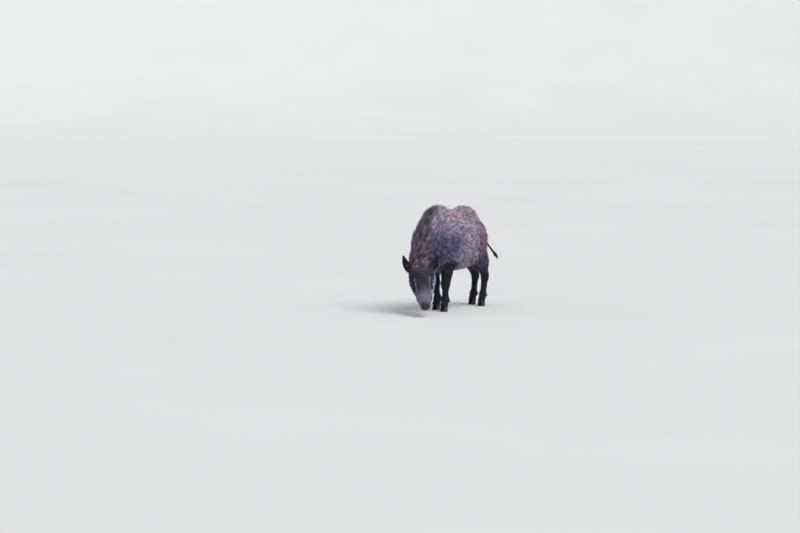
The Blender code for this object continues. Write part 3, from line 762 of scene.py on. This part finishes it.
# Kinds of hair: the spacing of its locks, the steps that each is drawn in and its length, or the share of a
# length that varies; the strands in a lock, their width and how far apart they are rooted; how far they stand
# off, how far they wave and over what length, and how far a lock's strands come together at its tip.
HAIR = {
    "body": (0.0102, 3, 1.00, 14, 0.0014, 0.0056, 1.05, 0.0042, 0.042, 0.78),
    "guard": (0.0085, 3, 1.15, 3, 0.0010, 0.0050, 1.22, 0.0024, 0.060, 0.30),
    "neck": (0.0102, 3, 1.00, 14, 0.0014, 0.0056, 1.05, 0.0040, 0.042, 0.78),
    "mane": (0.0100, 4, 0.062, 12, 0.0015, 0.0055, 1.50, 0.0036, 0.050, 0.65),
    "upper leg": (0.0082, 2, 1.00, 9, 0.0014, 0.0046, 1.00, 0.0022, 0.034, 0.65),
    "lower leg": (0.0044, 2, 1.00, 5, 0.0010, 0.0026, 0.95, 0.0010, 0.030, 0.50),
    "fringe": (0.0046, 2, 0.0155, 6, 0.0010, 0.0026, 1.10, 0.0006, 0.030, 0.40),
    "face": (0.0039, 2, 1.00, 6, 0.0008, 0.0022, 0.95, 0.0004, 0.020, 0.40),
    "ruff": (0.0080, 3, 0.026, 9, 0.0011, 0.0040, 1.60, 0.0016, 0.040, 0.70),
    "cheek": (0.0085, 3, 0.030, 9, 0.0010, 0.0042, 2.60, 0.0018, 0.040, 0.65),
    "forelock": (0.0084, 3, 0.034, 12, 0.0010, 0.0046, 1.50, 0.0022, 0.042, 0.75),
    "round forelock": (0.0100, 3, 0.026, 8, 0.0009, 0.0046, 1.70, 0.0024, 0.040, 0.70),
    "lash": (0.0024, 2, 0.0060, 2, 0.00035, 0.0006, 2.00, 0.0, 0.030, 0.20),
    "chin": (0.0095, 2, 0.0150, 2, 0.0006, 0.0012, 3.00, 0.0004, 0.030, 0.10),
    "snout": (0.0110, 2, 0.0140, 1, 0.0006, 0.0012, 4.00, 0.0, 0.030, 0.10),
    "ear": (0.0038, 2, 0.0085, 6, 0.0008, 0.0022, 0.90, 0.0006, 0.020, 0.40),
    "in ear": (0.0042, 2, 0.0060, 5, 0.0007, 0.0022, 0.50, 0.0004, 0.020, 0.40),
    "ear edge": (0.0032, 2, 0.0120, 6, 0.0006, 0.0018, 1.80, 0.0008, 0.020, 0.50),
    "long in ear": (0.0110, 3, 0.0150, 5, 0.0006, 0.0030, 3.00, 0.0010, 0.030, 0.50),
    "tail": (0.0044, 3, 0.0120, 6, 0.0009, 0.0022, 0.35, 0.0006, 0.020, 0.30),
    "tail root": (0.0070, 3, 0.0260, 9, 0.0011, 0.0040, 1.80, 0.0020, 0.040, 0.60),
    "tail tip": (0.0036, 3, 0.0240, 8, 0.0008, 0.0022, 1.80, 0.0020, 0.030, 0.10),
}
FREE_HAIR = ("fringe", "lash", "chin", "snout", "tail tip")
# How far a strand may be rolled about its own line, and how far it strays from its lock.
ROLL, FUZZ = 0.6, 0.3


class Locks:
    """Locks of hair rooted on the skin, each a line that follows the lie of the coat."""

    def __init__(self, skin, weight, spacing, steps, length, free=False):
        """weight says how thickly the hair grows at each point of the skin, 0 for none.

        Free locks run straight on from their roots, where others follow the skin.
        """
        corner = skin.points[skin.triangles]
        area = np.linalg.norm(np.cross(corner[:, 1] - corner[:, 0], corner[:, 2] - corner[:, 0]), axis=1) / 2
        grown = area * weight[skin.triangles].mean(axis=1)
        tries = int(9 * grown.sum() / spacing**2) + 8
        chosen = rng.choice(len(grown), tries, p=grown / grown.sum())
        first, second = rng.random((2, tries))
        flip = first + second > 1
        first[flip], second[flip] = 1 - first[flip], 1 - second[flip]
        share = np.stack([1 - first - second, first, second], axis=1)
        roots = (corner[chosen] * share[:, :, None]).sum(axis=1)
        _, keep = np.unique(np.floor(roots / spacing).astype(int), axis=0, return_index=True)
        keep.sort()
        self.share, self.corners = share[keep], skin.triangles[chosen[keep]]
        self.count = len(keep)
        self.random = rng.random((8, self.count))
        self.length = self.pick(length) * (0.75 + 0.5 * self.random[0])
        self.stand = self.pick(skin.stand)
        self.marks = self.pick(skin.marks)
        place = roots[keep]
        normal, lie = unit(self.pick(skin.normal)), unit(self.pick(skin.lie))
        self.place, self.normal, self.lie = [place], [normal], [lie]
        for _ in range(steps):
            place = place + lie * (self.length / steps)[:, None]
            if not free:
                index = np.array([skin.tree.find(p)[1] for p in place.tolist()])
                normal = unit(normal + 2 * skin.normal[index])
                place = place - normal * dot(place - skin.points[index], normal)
                lie = lie + skin.lie[index]
                lie = unit(lie - normal * dot(lie, normal))
            self.place.append(place)
            self.normal.append(normal)
            self.lie.append(lie)

    def pick(self, values):
        """A value of the skin's points, at the locks' roots."""
        share = self.share if values.ndim == 1 else self.share[:, :, None]
        return (values[self.corners] * share).sum(axis=1)


def hair(locks, strands, width, spread, lift, wave, wave_length, gather):
    """The strands of the locks: for each, rows of edge points and what the finish reads.

    spread is how far from its lock's root a strand may be rooted, lift how far its tip stands off as a
    share of the coat's depth, and gather how far the strands of a lock come together at its tip.
    """
    rows = len(locks.place)
    owner = np.repeat(np.arange(locks.count), strands)
    count = len(owner)
    side, fore, chance, height, turn, drift, thick, phase = rng.random((8, count))
    along = np.linspace(0, 1, rows)
    length = locks.length[owner]
    across_root = (2 * side - 1) * spread
    along_root = (2 * fore - 1) * spread
    turn = (2 * turn - 1) * ROLL
    stand = locks.stand[owner] * lift * (0.50 + 0.45 * height) * (0.60 + 0.60 * locks.random[1][owner])
    swing = wave * (0.5 + locks.random[2][owner])
    start = 2 * math.pi * locks.random[3][owner] + 0.9 * (phase - 0.5)
    points, places = [], []
    for row, share in enumerate(along):
        normal, lie = locks.normal[row][owner], locks.lie[row][owner]
        across = np.cross(normal, lie)
        together = 1 - gather * share
        wave_place = start + 2 * math.pi * share * length / wave_length
        bend = swing * (np.sin(wave_place) - np.sin(start)) * share**0.5
        sideways = across_root * together + bend + (2 * drift - 1) * FUZZ * length * 0.25 * share**2
        rise = stand * share * (2 - share) - 0.0012 * (1 - share)
        middle = (
            locks.place[row][owner] + across * sideways[:, None] + lie * (along_root * together)[:, None]
            + normal * rise[:, None]
        )
        if row == rows - 1:
            points.append(middle)
            places.append(np.full(count, share))
            break
        wide = width * (0.7 + 0.6 * thick) * (1 - 0.55 * share**1.5) / 2
        arm = (across * np.cos(turn)[:, None] + normal * np.sin(turn)[:, None]) * wide[:, None]
        points += [middle - arm, middle + arm]
        places += [np.full(count, share)] * 2
    points = np.stack(points, axis=1)
    places = np.stack(places, axis=1)
    corner = np.arange(count)[:, None] * points.shape[1]
    faces = []
    for row in range(rows - 2):
        a, b, c, d = (corner + 2 * row + k for k in range(4))
        faces += [np.hstack([a, b, d]), np.hstack([a, d, c])]
    last = 2 * (rows - 2)
    faces.append(np.hstack([corner + last, corner + last + 1, corner + last + 2]))
    return {
        "points": points,
        "faces": np.stack(faces, axis=1),
        "along": places,
        "lock": locks.random[4][owner],
        "strand": chance,
        "marks": locks.marks[owner],
        "root": points[:, 0],
        "across": np.tile([0.0, 1.0], rows)[: points.shape[1]],
    }


def tufts(skin, kind, weight, times=1.0):
    """The strands of one kind of hair, rooted as thickly as weight says and this many times as long."""
    spacing, steps, length, strands, width, spread, *rest = HAIR[kind]
    coarse = 1.0
    length = np.broadcast_to(length * np.asarray(times, float), (len(skin.points),))
    locks = Locks(skin, weight, spacing * coarse, steps, length, kind in FREE_HAIR)
    return hair(locks, strands, width * coarse, spread * coarse, *rest)


def round_axis(points, start, end):
    """Points unrolled round a line: the angle about it, and the distance along it."""
    run = np.array(end) - np.array(start)
    ahead = unit(run)
    right = unit(np.cross(ahead, [0.31, 0.11, 0.94]))
    up = np.cross(right, ahead)
    offset = points - np.array(start)
    angle = np.arctan2(offset @ right, offset @ up) / (2 * math.pi)
    return np.stack([angle, offset @ ahead / np.linalg.norm(run)], axis=1)


PATCH = 0.003


def make_coat(name, tufts, axis, finish):
    """One piece of coat from one or more sets of strands, with its map and what its finish reads."""
    points = np.concatenate([t["points"].reshape(-1, 3) for t in tufts])
    faces, count = [], 0
    for t in tufts:
        faces.append(t["faces"].reshape(-1, 3) + count)
        count += t["points"].shape[0] * t["points"].shape[1]
    mesh = triangle_mesh(name, points, np.concatenate(faces))

    def each(key):
        return np.concatenate([np.repeat(t[key], t["points"].shape[1], axis=0) for t in tufts])

    along = np.concatenate([t["along"].ravel() for t in tufts])
    note(mesh, "along", along)
    note(mesh, "lock", each("lock"))
    note(mesh, "strand", each("strand"))
    note_marks(mesh, each("marks"))

    place = round_axis(each("root"), *axis)
    low, high = place.min(axis=0), place.max(axis=0)
    across = np.concatenate([np.tile(t["across"], t["points"].shape[0]) for t in tufts])
    patch = np.stack([across, along], axis=1) * PATCH
    place = (place - low) / (high - low) * (1 - 2 * PATCH) + PATCH / 2 + patch
    corners = read(mesh.loops, "vertex_index", 1, np.int32).ravel()
    layer = mesh.uv_layers.new(name="OFBake")
    layer.uv.foreach_set("vector", place[corners].astype(np.float32).ravel())
    mesh.materials.append(finish)
    piece = add_object(name, mesh)
    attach(piece, "root")


# ---- finishes


def tone(red, green, blue):
    """A colour given as it looks on a screen, from 0 to 255, in linear light."""
    shares = [v / 255 for v in (red, green, blue)]
    return (*[s / 12.92 if s <= 0.04045 else ((s + 0.055) / 1.055) ** 2.4 for s in shares], 1.0)


def operation(name, turned=False):
    """A method of Value that adds a Math node. Turned, it takes the other number first."""

    def add_node(value, other):
        first, second = (other, value) if turned else (value, other)
        return value.finish.node("ShaderNodeMath", {"operation": name}, {0: first, 1: second})

    return add_node


class Value:
    """A number that varies over a surface. Sums with it add Math nodes to its finish."""

    def __init__(self, finish, socket):
        self.finish, self.socket = finish, socket

    __add__ = __radd__ = operation("ADD")
    __sub__, __rsub__ = operation("SUBTRACT"), operation("SUBTRACT", turned=True)
    __mul__ = __rmul__ = operation("MULTIPLY")
    __truediv__ = operation("DIVIDE")
    __pow__ = operation("POWER")

    def held(self):
        """The same number, kept between 0 and 1."""
        settings = {"operation": "ADD", "use_clamp": True}
        return self.finish.node("ShaderNodeMath", settings, {0: self, 1: 0.0})


class Finish:
    """A material, and the nodes that it is made of."""

    def __init__(self, name, roughness, constants=None):
        self.material = bpy.data.materials.new(name)
        self.material.use_nodes = True
        self.tree = self.material.node_tree
        self.shader = self.tree.nodes["Principled BSDF"]
        self.shader.inputs["Roughness"].default_value = roughness
        for socket, value in (constants or {}).items():
            self.shader.inputs[socket].default_value = value

    def node(self, kind, settings=None, inputs=None, output=0):
        made = self.tree.nodes.new(kind)
        for name, value in (settings or {}).items():
            if name == "stops":
                held = made.color_ramp.elements
                for k, (position, colour) in enumerate(value):
                    stop = held[k] if k < len(held) else held.new(position)
                    stop.position, stop.color = position, colour
            else:
                setattr(made, name, value)
        for socket, value in (inputs or {}).items():
            if isinstance(value, Value):
                self.tree.links.new(value.socket, made.inputs[socket])
            else:
                made.inputs[socket].default_value = value
        return Value(self, made.outputs[output])

    def noted(self, name):
        """A number stored on the mesh."""
        return self.node("ShaderNodeAttribute", {"attribute_name": name}, output="Fac")

    def marks(self):
        """The markings stored on the mesh, by name."""
        found = {}
        for k in range(0, len(MARKS), 3):
            triple = self.node("ShaderNodeAttribute", {"attribute_name": f"marks_{k // 3}"}, output="Vector")
            found.update(zip(MARKS[k : k + 3], self.split(triple)))
        return found

    def split(self, triple):
        made = self.node("ShaderNodeSeparateXYZ", {}, {0: triple})
        return [Value(self, socket) for socket in made.socket.node.outputs]

    def mix(self, share, first, second, way="MIX"):
        """Two colours mixed by a share from 0 to 1."""
        settings = {"data_type": "RGBA", "blend_type": way}
        return self.node("ShaderNodeMix", settings, {0: share, 6: first, 7: second}, output=2)

    def shaded(self, colour, share):
        """A colour made darker by a share that may vary."""
        grey = self.node("ShaderNodeCombineXYZ", {}, {0: share, 1: share, 2: share})
        return self.mix(1.0, colour, grey, "MULTIPLY")

    def place(self):
        return self.node("ShaderNodeTexCoord", {}, {}, output="Object")

    def noise(self, scale, detail=3.0, roughness=0.55, where=None):
        inputs = {"Vector": where or self.place(), "Scale": scale, "Detail": detail, "Roughness": roughness}
        return self.node("ShaderNodeTexNoise", {}, inputs)

    def bump(self, height, distance, strength):
        inputs = {"Height": height, "Distance": distance, "Strength": strength}
        self.feed("Normal", self.node("ShaderNodeBump", {}, inputs))

    def feed(self, socket, value):
        self.tree.links.new(value.socket, self.shader.inputs[socket])


# Colours of the coat by marking, as tone takes them: the hair's shaft, and its tip.
FLANK = ((98, 85, 112), (234, 217, 245))
TONES = {
    "back": ((116, 94, 112), (228, 202, 220)),
    "shoulder": ((47, 46, 72), (134, 132, 176)),
    "belly": ((90, 86, 104), (198, 192, 214)),
    "rump": ((98, 70, 82), (188, 150, 166)),
    "mane": ((30, 26, 35), (100, 85, 100)),
    "nape": ((74, 58, 72), (184, 156, 180)),
    "elbow": ((26, 16, 22), (58, 38, 47)),
    "leg": ((17, 17, 27), (45, 47, 70)),
    "thigh": ((56, 49, 72), (130, 120, 150)),
    "face": ((24, 23, 36), (60, 57, 82)),
    "muzzle": ((94, 88, 112), (162, 154, 184)),
    "poll": ((56, 40, 48), (182, 155, 178)),
    # rim: pale hair of the cheek streak, partly painted light, and of the ring above the eyes and the ear
    # edges.
    "rim": ((134, 132, 160), (226, 224, 250)),
    "ear": ((30, 30, 44), (88, 88, 112)),
    # socket: near-black for the dark skin round the eyes, and painted shade round them and inside the ears.
    "socket": ((8, 7, 13), (24, 22, 33)),
}


def marked_colours(finish):
    """The shaft's colour and the tip's at each place, from the markings."""
    marks = finish.marks()
    shaft, tip = (tone(*colour) for colour in FLANK)
    for name, (mark_shaft, mark_tip) in TONES.items():
        shaft = finish.mix(marks[name], shaft, tone(*mark_shaft))
        tip = finish.mix(marks[name], tip, tone(*mark_tip))
    return shaft, tip


def coat_finish(name):
    """Grizzled hair: dark at the root, paler to the tip, and unlike from lock to lock."""
    finish = Finish(name, 0.62, {"Specular IOR Level": 0.35})
    along, lock, strand = (finish.noted(name) for name in ("along", "lock", "strand"))
    shaft, tip = marked_colours(finish)
    patches = finish.noise(30.0, detail=2.0)
    pale = (along ** 1.4) * (0.14 + 1.25 * lock ** 1.4 + 0.40 * (strand - 0.5) + 0.9 * (patches - 0.5))
    colour = finish.mix(pale.held(), shaft, tip)
    root = (0.26 + 0.74 * (along * 1.9).held()) * (0.66 + 0.32 * strand + 0.28 * lock)
    finish.feed("Base Color", finish.shaded(colour, root))
    finish.feed("Roughness", 0.70 - 0.22 * strand)
    return finish.material


def skin_finish():
    """Skin under short hair: the coat's markings, darker, with the hair's own grain pressed in."""
    finish = Finish("skin", 0.62, {"Specular IOR Level": 0.4})
    shaft, tip = marked_colours(finish)
    grain = finish.noise(620.0, detail=4.0)
    mottle = finish.noise(60.0, detail=3.0)
    bare = finish.noted("bare")
    colour = finish.mix((0.10 + 0.35 * mottle).held(), shaft, tip)
    colour = finish.shaded(colour, 0.50 + 0.30 * grain)
    disc = finish.mix(mottle, tone(44, 36, 50), tone(72, 60, 78))
    # The near-black is painted shade in the mouth's crease and the nostrils, and the dark skin of the lids.
    disc = finish.mix(finish.noted("deep").held(), disc, tone(10, 8, 11))
    finish.feed("Base Color", finish.mix(bare, colour, disc))
    finish.feed("Roughness", 0.72 - 0.30 * bare)
    pores = finish.node("ShaderNodeTexVoronoi", {}, {"Vector": finish.place(), "Scale": 520.0})
    height = grain * (1.0 - 0.6 * bare) + pores * (0.8 * bare)
    finish.bump(height, 0.0006, 0.8)
    return finish.material


def eye_finish(side):
    """A dark brown eye under a clear film: a broad pupil, a brown iris and dark greyish brown round them."""
    film = {"Specular IOR Level": 0.15, "Coat Weight": 0.4, "Coat Roughness": 0.04}
    finish = Finish("eye_" + side, 0.18, film)
    centre, axes = EYE_FRAMES[side]
    kind = "ShaderNodeVectorMath"
    offset = finish.node(kind, {"operation": "SUBTRACT"}, {0: finish.place(), 1: tuple(centre)})
    facing = finish.node(kind, {"operation": "DOT_PRODUCT"}, {0: offset, 1: tuple(axes[2])}, output="Value")
    stops = [
        (0.0, tone(58, 46, 46)), (0.60, tone(44, 34, 34)), (0.68, tone(14, 9, 8)), (0.76, tone(46, 27, 18)),
        (0.88, tone(30, 17, 12)), (0.92, tone(3, 3, 4)),
    ]
    colour = finish.node("ShaderNodeValToRGB", {"stops": stops}, {0: facing / EYE_RADIUS})
    streaks = finish.noise(900.0, detail=2.0)
    finish.feed("Base Color", finish.mix((streaks * 0.35).held(), colour, tone(12, 8, 7)))
    return finish.material


def horn_finish():
    """Dark hoof horn: rings of growth, fine streaks down the wall, and a worn paler edge at the floor."""
    finish = Finish("horn", 0.42, {"Specular IOR Level": 0.5})
    place = finish.place()
    height = finish.split(place)[2]
    wander = finish.noise(70.0)
    rings = finish.node("ShaderNodeMath", {"operation": "SINE"}, {0: (height + wander * 0.004) * 2100.0})
    down = finish.node("ShaderNodeVectorMath", {"operation": "MULTIPLY"}, {0: place, 1: (1.0, 1.0, 0.12)})
    streaks = finish.noise(900.0, detail=2.0, where=down)
    colour = finish.mix(streaks, tone(20, 18, 26), tone(52, 47, 56))
    worn = (1.0 - height / 0.006).held()
    finish.feed("Base Color", finish.mix(worn * 0.5, colour, tone(96, 88, 88)))
    finish.feed("Roughness", 0.36 + 0.30 * streaks)
    finish.bump(rings * 0.10 + streaks * 0.7, 0.0003, 0.6)
    return finish.material


def floor_finish():
    finish = Finish("floor", 0.9, {"Specular IOR Level": 0.1})
    cloud = finish.noise(0.6, detail=2.0)
    finish.feed("Base Color", finish.mix(cloud, tone(214, 214, 213), tone(220, 220, 219)))
    return finish.material


# ---- putting the boar together


def finish_skin(skin):
    """Gives the finished skin its markings and the material that reads them."""
    thin_out(skin.obj)
    mesh = skin.obj.data
    points = read(mesh.vertices, "co", 3)
    source = np.array([skin.tree.find(p)[1] for p in points.tolist()])
    marks = skin.marks[source]
    note_marks(mesh, marks)
    head = in_head(points)
    back = behind_disc(head)
    near_disc = ramp(back, 0.011, 0.006) * skin.part["snout_disc"][source].clip(0, 1) ** 0.5
    on_face = marks[:, MARKS.index("face")]
    from_lips, _ = from_face_line(head, LIPS)
    lids = np.zeros(len(points))
    for side in SIDES:
        lids = np.maximum(lids, ramp(size(eye_place(points, side)), 0.0145, 0.0118))
    note(mesh, "bare", np.clip(near_disc + ramp(from_lips, 0.0055, 0.0020) * on_face + 0.9 * lids, 0, 1))
    # Near-black painted shade in the crease of the mouth and inside the nostrils, and the dark bare skin of
    # the lids.
    deep = ramp(from_lips, 0.0026, 0.0008) * on_face
    for sign in SIDES.values():
        deep = np.maximum(deep, ramp(nostril_ring(head, sign), 1.05, 0.75) * ramp(back, 0.016, 0.010))
    note(mesh, "deep", np.maximum(deep, 0.90 * lids))
    mesh.materials.clear()
    mesh.materials.append(skin_finish())
    mesh.shade_smooth()
    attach(skin.obj, "root")
    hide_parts(*FLESH)


def make_body_coats(skin):
    """The long grizzled hair of the trunk and neck, and the mane along the crest."""
    finish = coat_finish("body_coat")
    points, part, mark = skin.points, skin.part, skin.mark
    from_ears = np.min([from_line(points, line)[0] for line in EAR_LINES.values()], axis=0)
    clear = 0.30 + 0.70 * ramp(from_ears, 0.020, 0.065)
    length = 0.042 + 0.010 * skin.mane + 0.008 * mark["belly"] - 0.004 * mark["back"]
    low_neck = part["neck"] * ramp(points[:, 2], 0.30, 0.22)
    length = (length + 0.006 * low_neck) * clear

    stretches = {"shoulder": (-0.40, -0.045), "flank": (-0.045, 0.165), "rump": (0.165, 0.60)}
    axis = ((WITHERS[0], -0.25, 0.37), (WITHERS[0], 0.42, 0.42))
    for stretch, (front, rear) in stretches.items():
        for side, sign in SIDES.items():
            here = (points[:, 1] >= front) & (points[:, 1] < rear) & (skin.side == sign)
            pieces = [tufts(skin, kind, part["trunk"] * here, length) for kind in ("body", "guard")]
            make_coat(f"coat_{stretch}_{side}", pieces, axis, finish)

    axis = (from_head(0, 0.0, -0.05), (WITHERS[0], -0.10, 0.42))
    pieces = [tufts(skin, kind, part["neck"], length) for kind in ("neck", "guard")]
    make_coat("coat_neck", pieces, axis, finish)
    make_coat("mane", [tufts(skin, "mane", skin.mane**1.5, clear)], axis, finish)


def make_leg_coats(skin):
    """Longer hair on the upper legs, short close hair below, and a fringe that hangs over the hooves."""
    finish = coat_finish("leg_coat")
    points, part = skin.points, skin.part
    height = points[:, 2]
    upper = ramp(height, 0.14, 0.32)
    length = 0.011 + 0.024 * upper
    fringed = ramp(height, 0.050, 0.040)
    for leg in ("foreleg", "hindleg"):
        for side, sign in SIDES.items():
            weight = part[leg] * (skin.side == sign)
            low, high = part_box(f"{leg}_{side}")
            middle = (low + high) / 2
            axis = ((middle.x, middle.y, low.z), (middle.x, middle.y, high.z))
            pieces = [
                tufts(skin, "upper leg", weight * (upper > 0.35), length),
                tufts(skin, "lower leg", weight * (upper <= 0.35), length),
                tufts(skin, "fringe", weight * fringed),
            ]
            make_coat(f"coat_{leg}_{side}", pieces, axis, finish)


def make_head_coat(skin):
    """Short hair over the face, the forelock, the ruff at the jaw, the lashes and a few bristles."""
    points, part, mark = skin.points, skin.part, skin.mark
    head = in_head(points)
    aside, ahead, up = head.T
    behind = behind_disc(head)
    clear_of_eyes, lashes = np.ones(len(points)), np.zeros(len(points))
    for side in SIDES:
        place = eye_place(points, side)
        reach = size(place)
        clear_of_eyes *= ramp(reach, 0.0118, 0.0140)
        on_lid = (place[:, 1] > 0.0048) * (place[:, 2] > 0.0)
        lashes = np.maximum(lashes, bump_at(reach, 0.0116, 0.0008) * on_lid)
    lips = ramp(from_face_line(head, LIPS)[0], 0.0024, 0.0048)
    weight = part["head"] * clear_of_eyes * lips * ramp(behind, 0.011, 0.020)
    rear = ramp(ahead, 0.14, 0.05)
    under = ramp(up, -0.06, -0.10)
    length = 0.0056 + 0.0062 * rear + 0.0030 * mark["rim"] * rear + 0.0040 * rear * under
    ruff = part["head"] * ramp(ahead, 0.060, 0.020) * ramp(up, -0.045, -0.065)
    cheek = part["head"] * ramp(np.abs(aside), 0.040, 0.056)
    cheek = cheek * ramp(ahead, 0.105, 0.070) * ramp(up, -0.020, -0.040)
    chin = part["head"] * ramp(ahead, 0.10, 0.16) * ramp(up, -0.074, -0.080)
    snout = part["head"] * ramp(ahead, 0.17, 0.20) * ramp(up, -0.030, -0.045) * ramp(behind, 0.010, 0.016)
    forelock = mark["poll"] * np.clip(part["head"] + part["neck"], 0, 1)
    pieces = [
        tufts(skin, "face", weight * (1 - 0.6 * cheek), length),
        tufts(skin, "ruff", ruff),
        tufts(skin, "cheek", cheek),
        tufts(skin, "forelock", forelock),
        tufts(skin, "round forelock", forelock * (mark["poll"] < 0.95)),
        tufts(skin, "lash", lashes),
        tufts(skin, "chin", chin),
        tufts(skin, "snout", snout),
    ]
    axis = (from_head(0, 0, -0.05), from_head(0, DISC_AHEAD, -0.05))
    make_coat("coat_head", pieces, axis, coat_finish("face_coat"))


def make_ear_coats(skin):
    """Short hair on the ears, a pale fringe round their edges and long hair inside them."""
    finish = coat_finish("ear_coat")
    head = in_head(skin.points)
    for side, sign in SIDES.items():
        weight = skin.part["ear"] * (np.sign(head[:, 0]) == sign)
        pieces = [
            tufts(skin, "ear", weight * (1 - skin.in_ear)),
            tufts(skin, "in ear", weight * skin.in_ear),
            tufts(skin, "ear edge", weight * skin.edge),
            tufts(skin, "long in ear", weight * skin.in_ear),
        ]
        make_coat(f"coat_ear_{side}", pieces, EAR_LINES[side], finish)


def make_tail_coat(skin):
    """Short dark hair down the tail and a longer tuft at its tip."""
    weight = skin.part["tail"]
    along = from_line(skin.points, TAIL)[1]
    pieces = [
        tufts(skin, "tail", weight),
        tufts(skin, "tail root", weight * ramp(along, 0.16, 0.04)),
        tufts(skin, "tail tip", weight * ramp(along, 0.80, 0.93)),
    ]
    make_coat("coat_tail", pieces, (TAIL[0], TAIL[-1]), coat_finish("tail_coat"))


def make_eyeballs():
    """Smooth eyeballs in place of the solids', with a clear bulge over the iris."""
    for side, (centre, axes) in EYE_FRAMES.items():
        data = bpy.data.meshes.new("eyeball_" + side)
        with edited(data) as mesh:
            bmesh.ops.create_uvsphere(mesh, u_segments=48, v_segments=32, radius=EYE_RADIUS)
            for vert in mesh.verts:
                bulge = float(ramp(np.array(vert.co.z / EYE_RADIUS), 0.74, 0.95))
                vert.co = Vector(centre + axes.T @ (np.array(vert.co) * (1 + 0.055 * bulge)))
            mesh.normal_update()
            bmesh.ops.recalc_face_normals(mesh, faces=mesh.faces)
        data.shade_smooth()
        data.materials.append(eye_finish(side))
        eyeball = add_object("eyeball_" + side, data)
        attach(eyeball, "root")
        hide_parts("eye_" + side)


def draw_in(points, skin):
    """A dewclaw's points, with the side that faces the leg drawn in under the hair to the skin."""
    middle = points.mean(axis=0)
    gap = np.array(skin.tree.find(middle.tolist())[0]) - middle
    way = gap / np.linalg.norm(gap)
    inward = (points - middle) @ way
    reach = max(np.linalg.norm(gap) + 0.0015 - inward.max(), 0.0)
    return points + way * (reach * ramp(inward, 0.0, inward.max()))[:, None]


def make_hooves(skin):
    """Hooves with rounded edges in place of the claws' solids, flat where they stand."""
    horn = horn_finish()
    claws = {name: node for name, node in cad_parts.items() if "claw" in name}
    for name, node in claws.items():
        hoof = add_object(name.replace("claw", "hoof"), node.data.copy())
        remesh(hoof, HOOF_CELL)
        form = Surface(hoof)
        form.smooth(10, 1.0)
        height, length = form.points[:, 2], form.points[:, 1]
        if name.startswith("dew"):
            form.points = draw_in(form.points, skin)
        else:
            heel = ramp(length, np.quantile(length, 0.45), length.max())
            height = height * (1 - HEEL_DROP * heel)
            form.points[:, 2] = np.where(height < HOOF_CELL, 0.0, height)
        form.write()
        hoof.data.shade_smooth()
        hoof.data.materials.clear()
        hoof.data.materials.append(horn)
        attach(hoof, "root")
        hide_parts(name)


# ---- the studio


def make_floor():
    """A pale round floor that curves up into a low wall far behind the boar on every side."""
    profile = [(FLOOR_RADIUS * 0.5, 0.0), (FLOOR_RADIUS, 0.0)]
    for turn in np.radians(np.arange(6, 61, 6)):
        profile.append((FLOOR_RADIUS + FLOOR_CURVE * math.sin(turn), FLOOR_CURVE * (1 - math.cos(turn))))
    data = bpy.data.meshes.new("floor")
    with edited(data) as mesh:
        middle = mesh.verts.new((0.0, 0.0, 0.0))
        turns = [2 * math.pi * k / FLOOR_SIDES for k in range(FLOOR_SIDES)]
        rings = [
            [mesh.verts.new((radius * math.cos(t), radius * math.sin(t), height)) for t in turns]
            for radius, height in profile
        ]
        for k in range(FLOOR_SIDES):
            j = (k + 1) % FLOOR_SIDES
            mesh.faces.new((middle, rings[0][k], rings[0][j]))
            for inner, outer in zip(rings[:-1], rings[1:]):
                mesh.faces.new((inner[k], outer[k], outer[j], inner[j]))
    data.shade_smooth()
    data.materials.append(floor_finish())
    floor = add_object("floor", data)
    floor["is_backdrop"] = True


def add_lamp(name, towards, strength, breadth):
    """A lamp that lights everything alike from one direction, as from a broad panel."""
    light = bpy.data.lights.new(name, "SUN")
    light.angle, light.energy = math.radians(breadth), strength
    lamp = add_object(name, light)
    lamp.location = Vector(towards) * 5.0
    lamp.rotation_euler = Vector(towards).to_track_quat("Z", "Y").to_euler()


def light_studio():
    for name, (towards, strength, breadth) in LAMPS.items():
        add_lamp(name, towards, strength, breadth)
    world = bpy.data.worlds.new("studio")
    world.use_nodes = True
    background = world.node_tree.nodes["Background"]
    background.inputs["Color"].default_value = SKY_COLOUR
    background.inputs["Strength"].default_value = SKY_STRENGTH
    bpy.context.scene.world = world
    bpy.context.scene.view_settings.view_transform = "Standard"


def add_camera():
    """Looks at the boar from its front left, from a long way off."""
    turn, rise = CAMERA_TURN, CAMERA_RISE
    back = Vector((math.sin(turn) * math.cos(rise), -math.cos(turn) * math.cos(rise), math.sin(rise)))
    right = Vector((math.cos(turn), math.sin(turn), 0.0))
    up = back.cross(right)
    camera = bpy.data.cameras.new("camera")
    camera.lens, camera.sensor_width, camera.clip_end = LENS, SENSOR, 200.0
    holder = add_object("camera", camera)
    holder.location = LOOKED_AT + back * CAMERA_DISTANCE - right * RIGHT_OF_MIDDLE + up * BELOW_MIDDLE
    holder.rotation_euler = (-back).to_track_quat("-Z", "Y").to_euler()
    bpy.context.scene.camera = holder


def write_sizes():
    sizes = {"cad": cad_box, "visual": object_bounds()}
    sizes = {name: [list(low), list(high)] for name, (low, high) in sizes.items()}


def main():
    skin = make_skin()
    let_in(skin)
    shape_face(skin)
    set_lie(skin)
    set_marks(skin)
    open_lids(skin)
    finish_skin(skin)
    make_body_coats(skin)
    make_leg_coats(skin)
    make_head_coat(skin)
    make_ear_coats(skin)
    make_tail_coat(skin)
    make_eyeballs()
    make_hooves(skin)
    make_floor()
    light_studio()
    add_camera()
    write_sizes()


main()
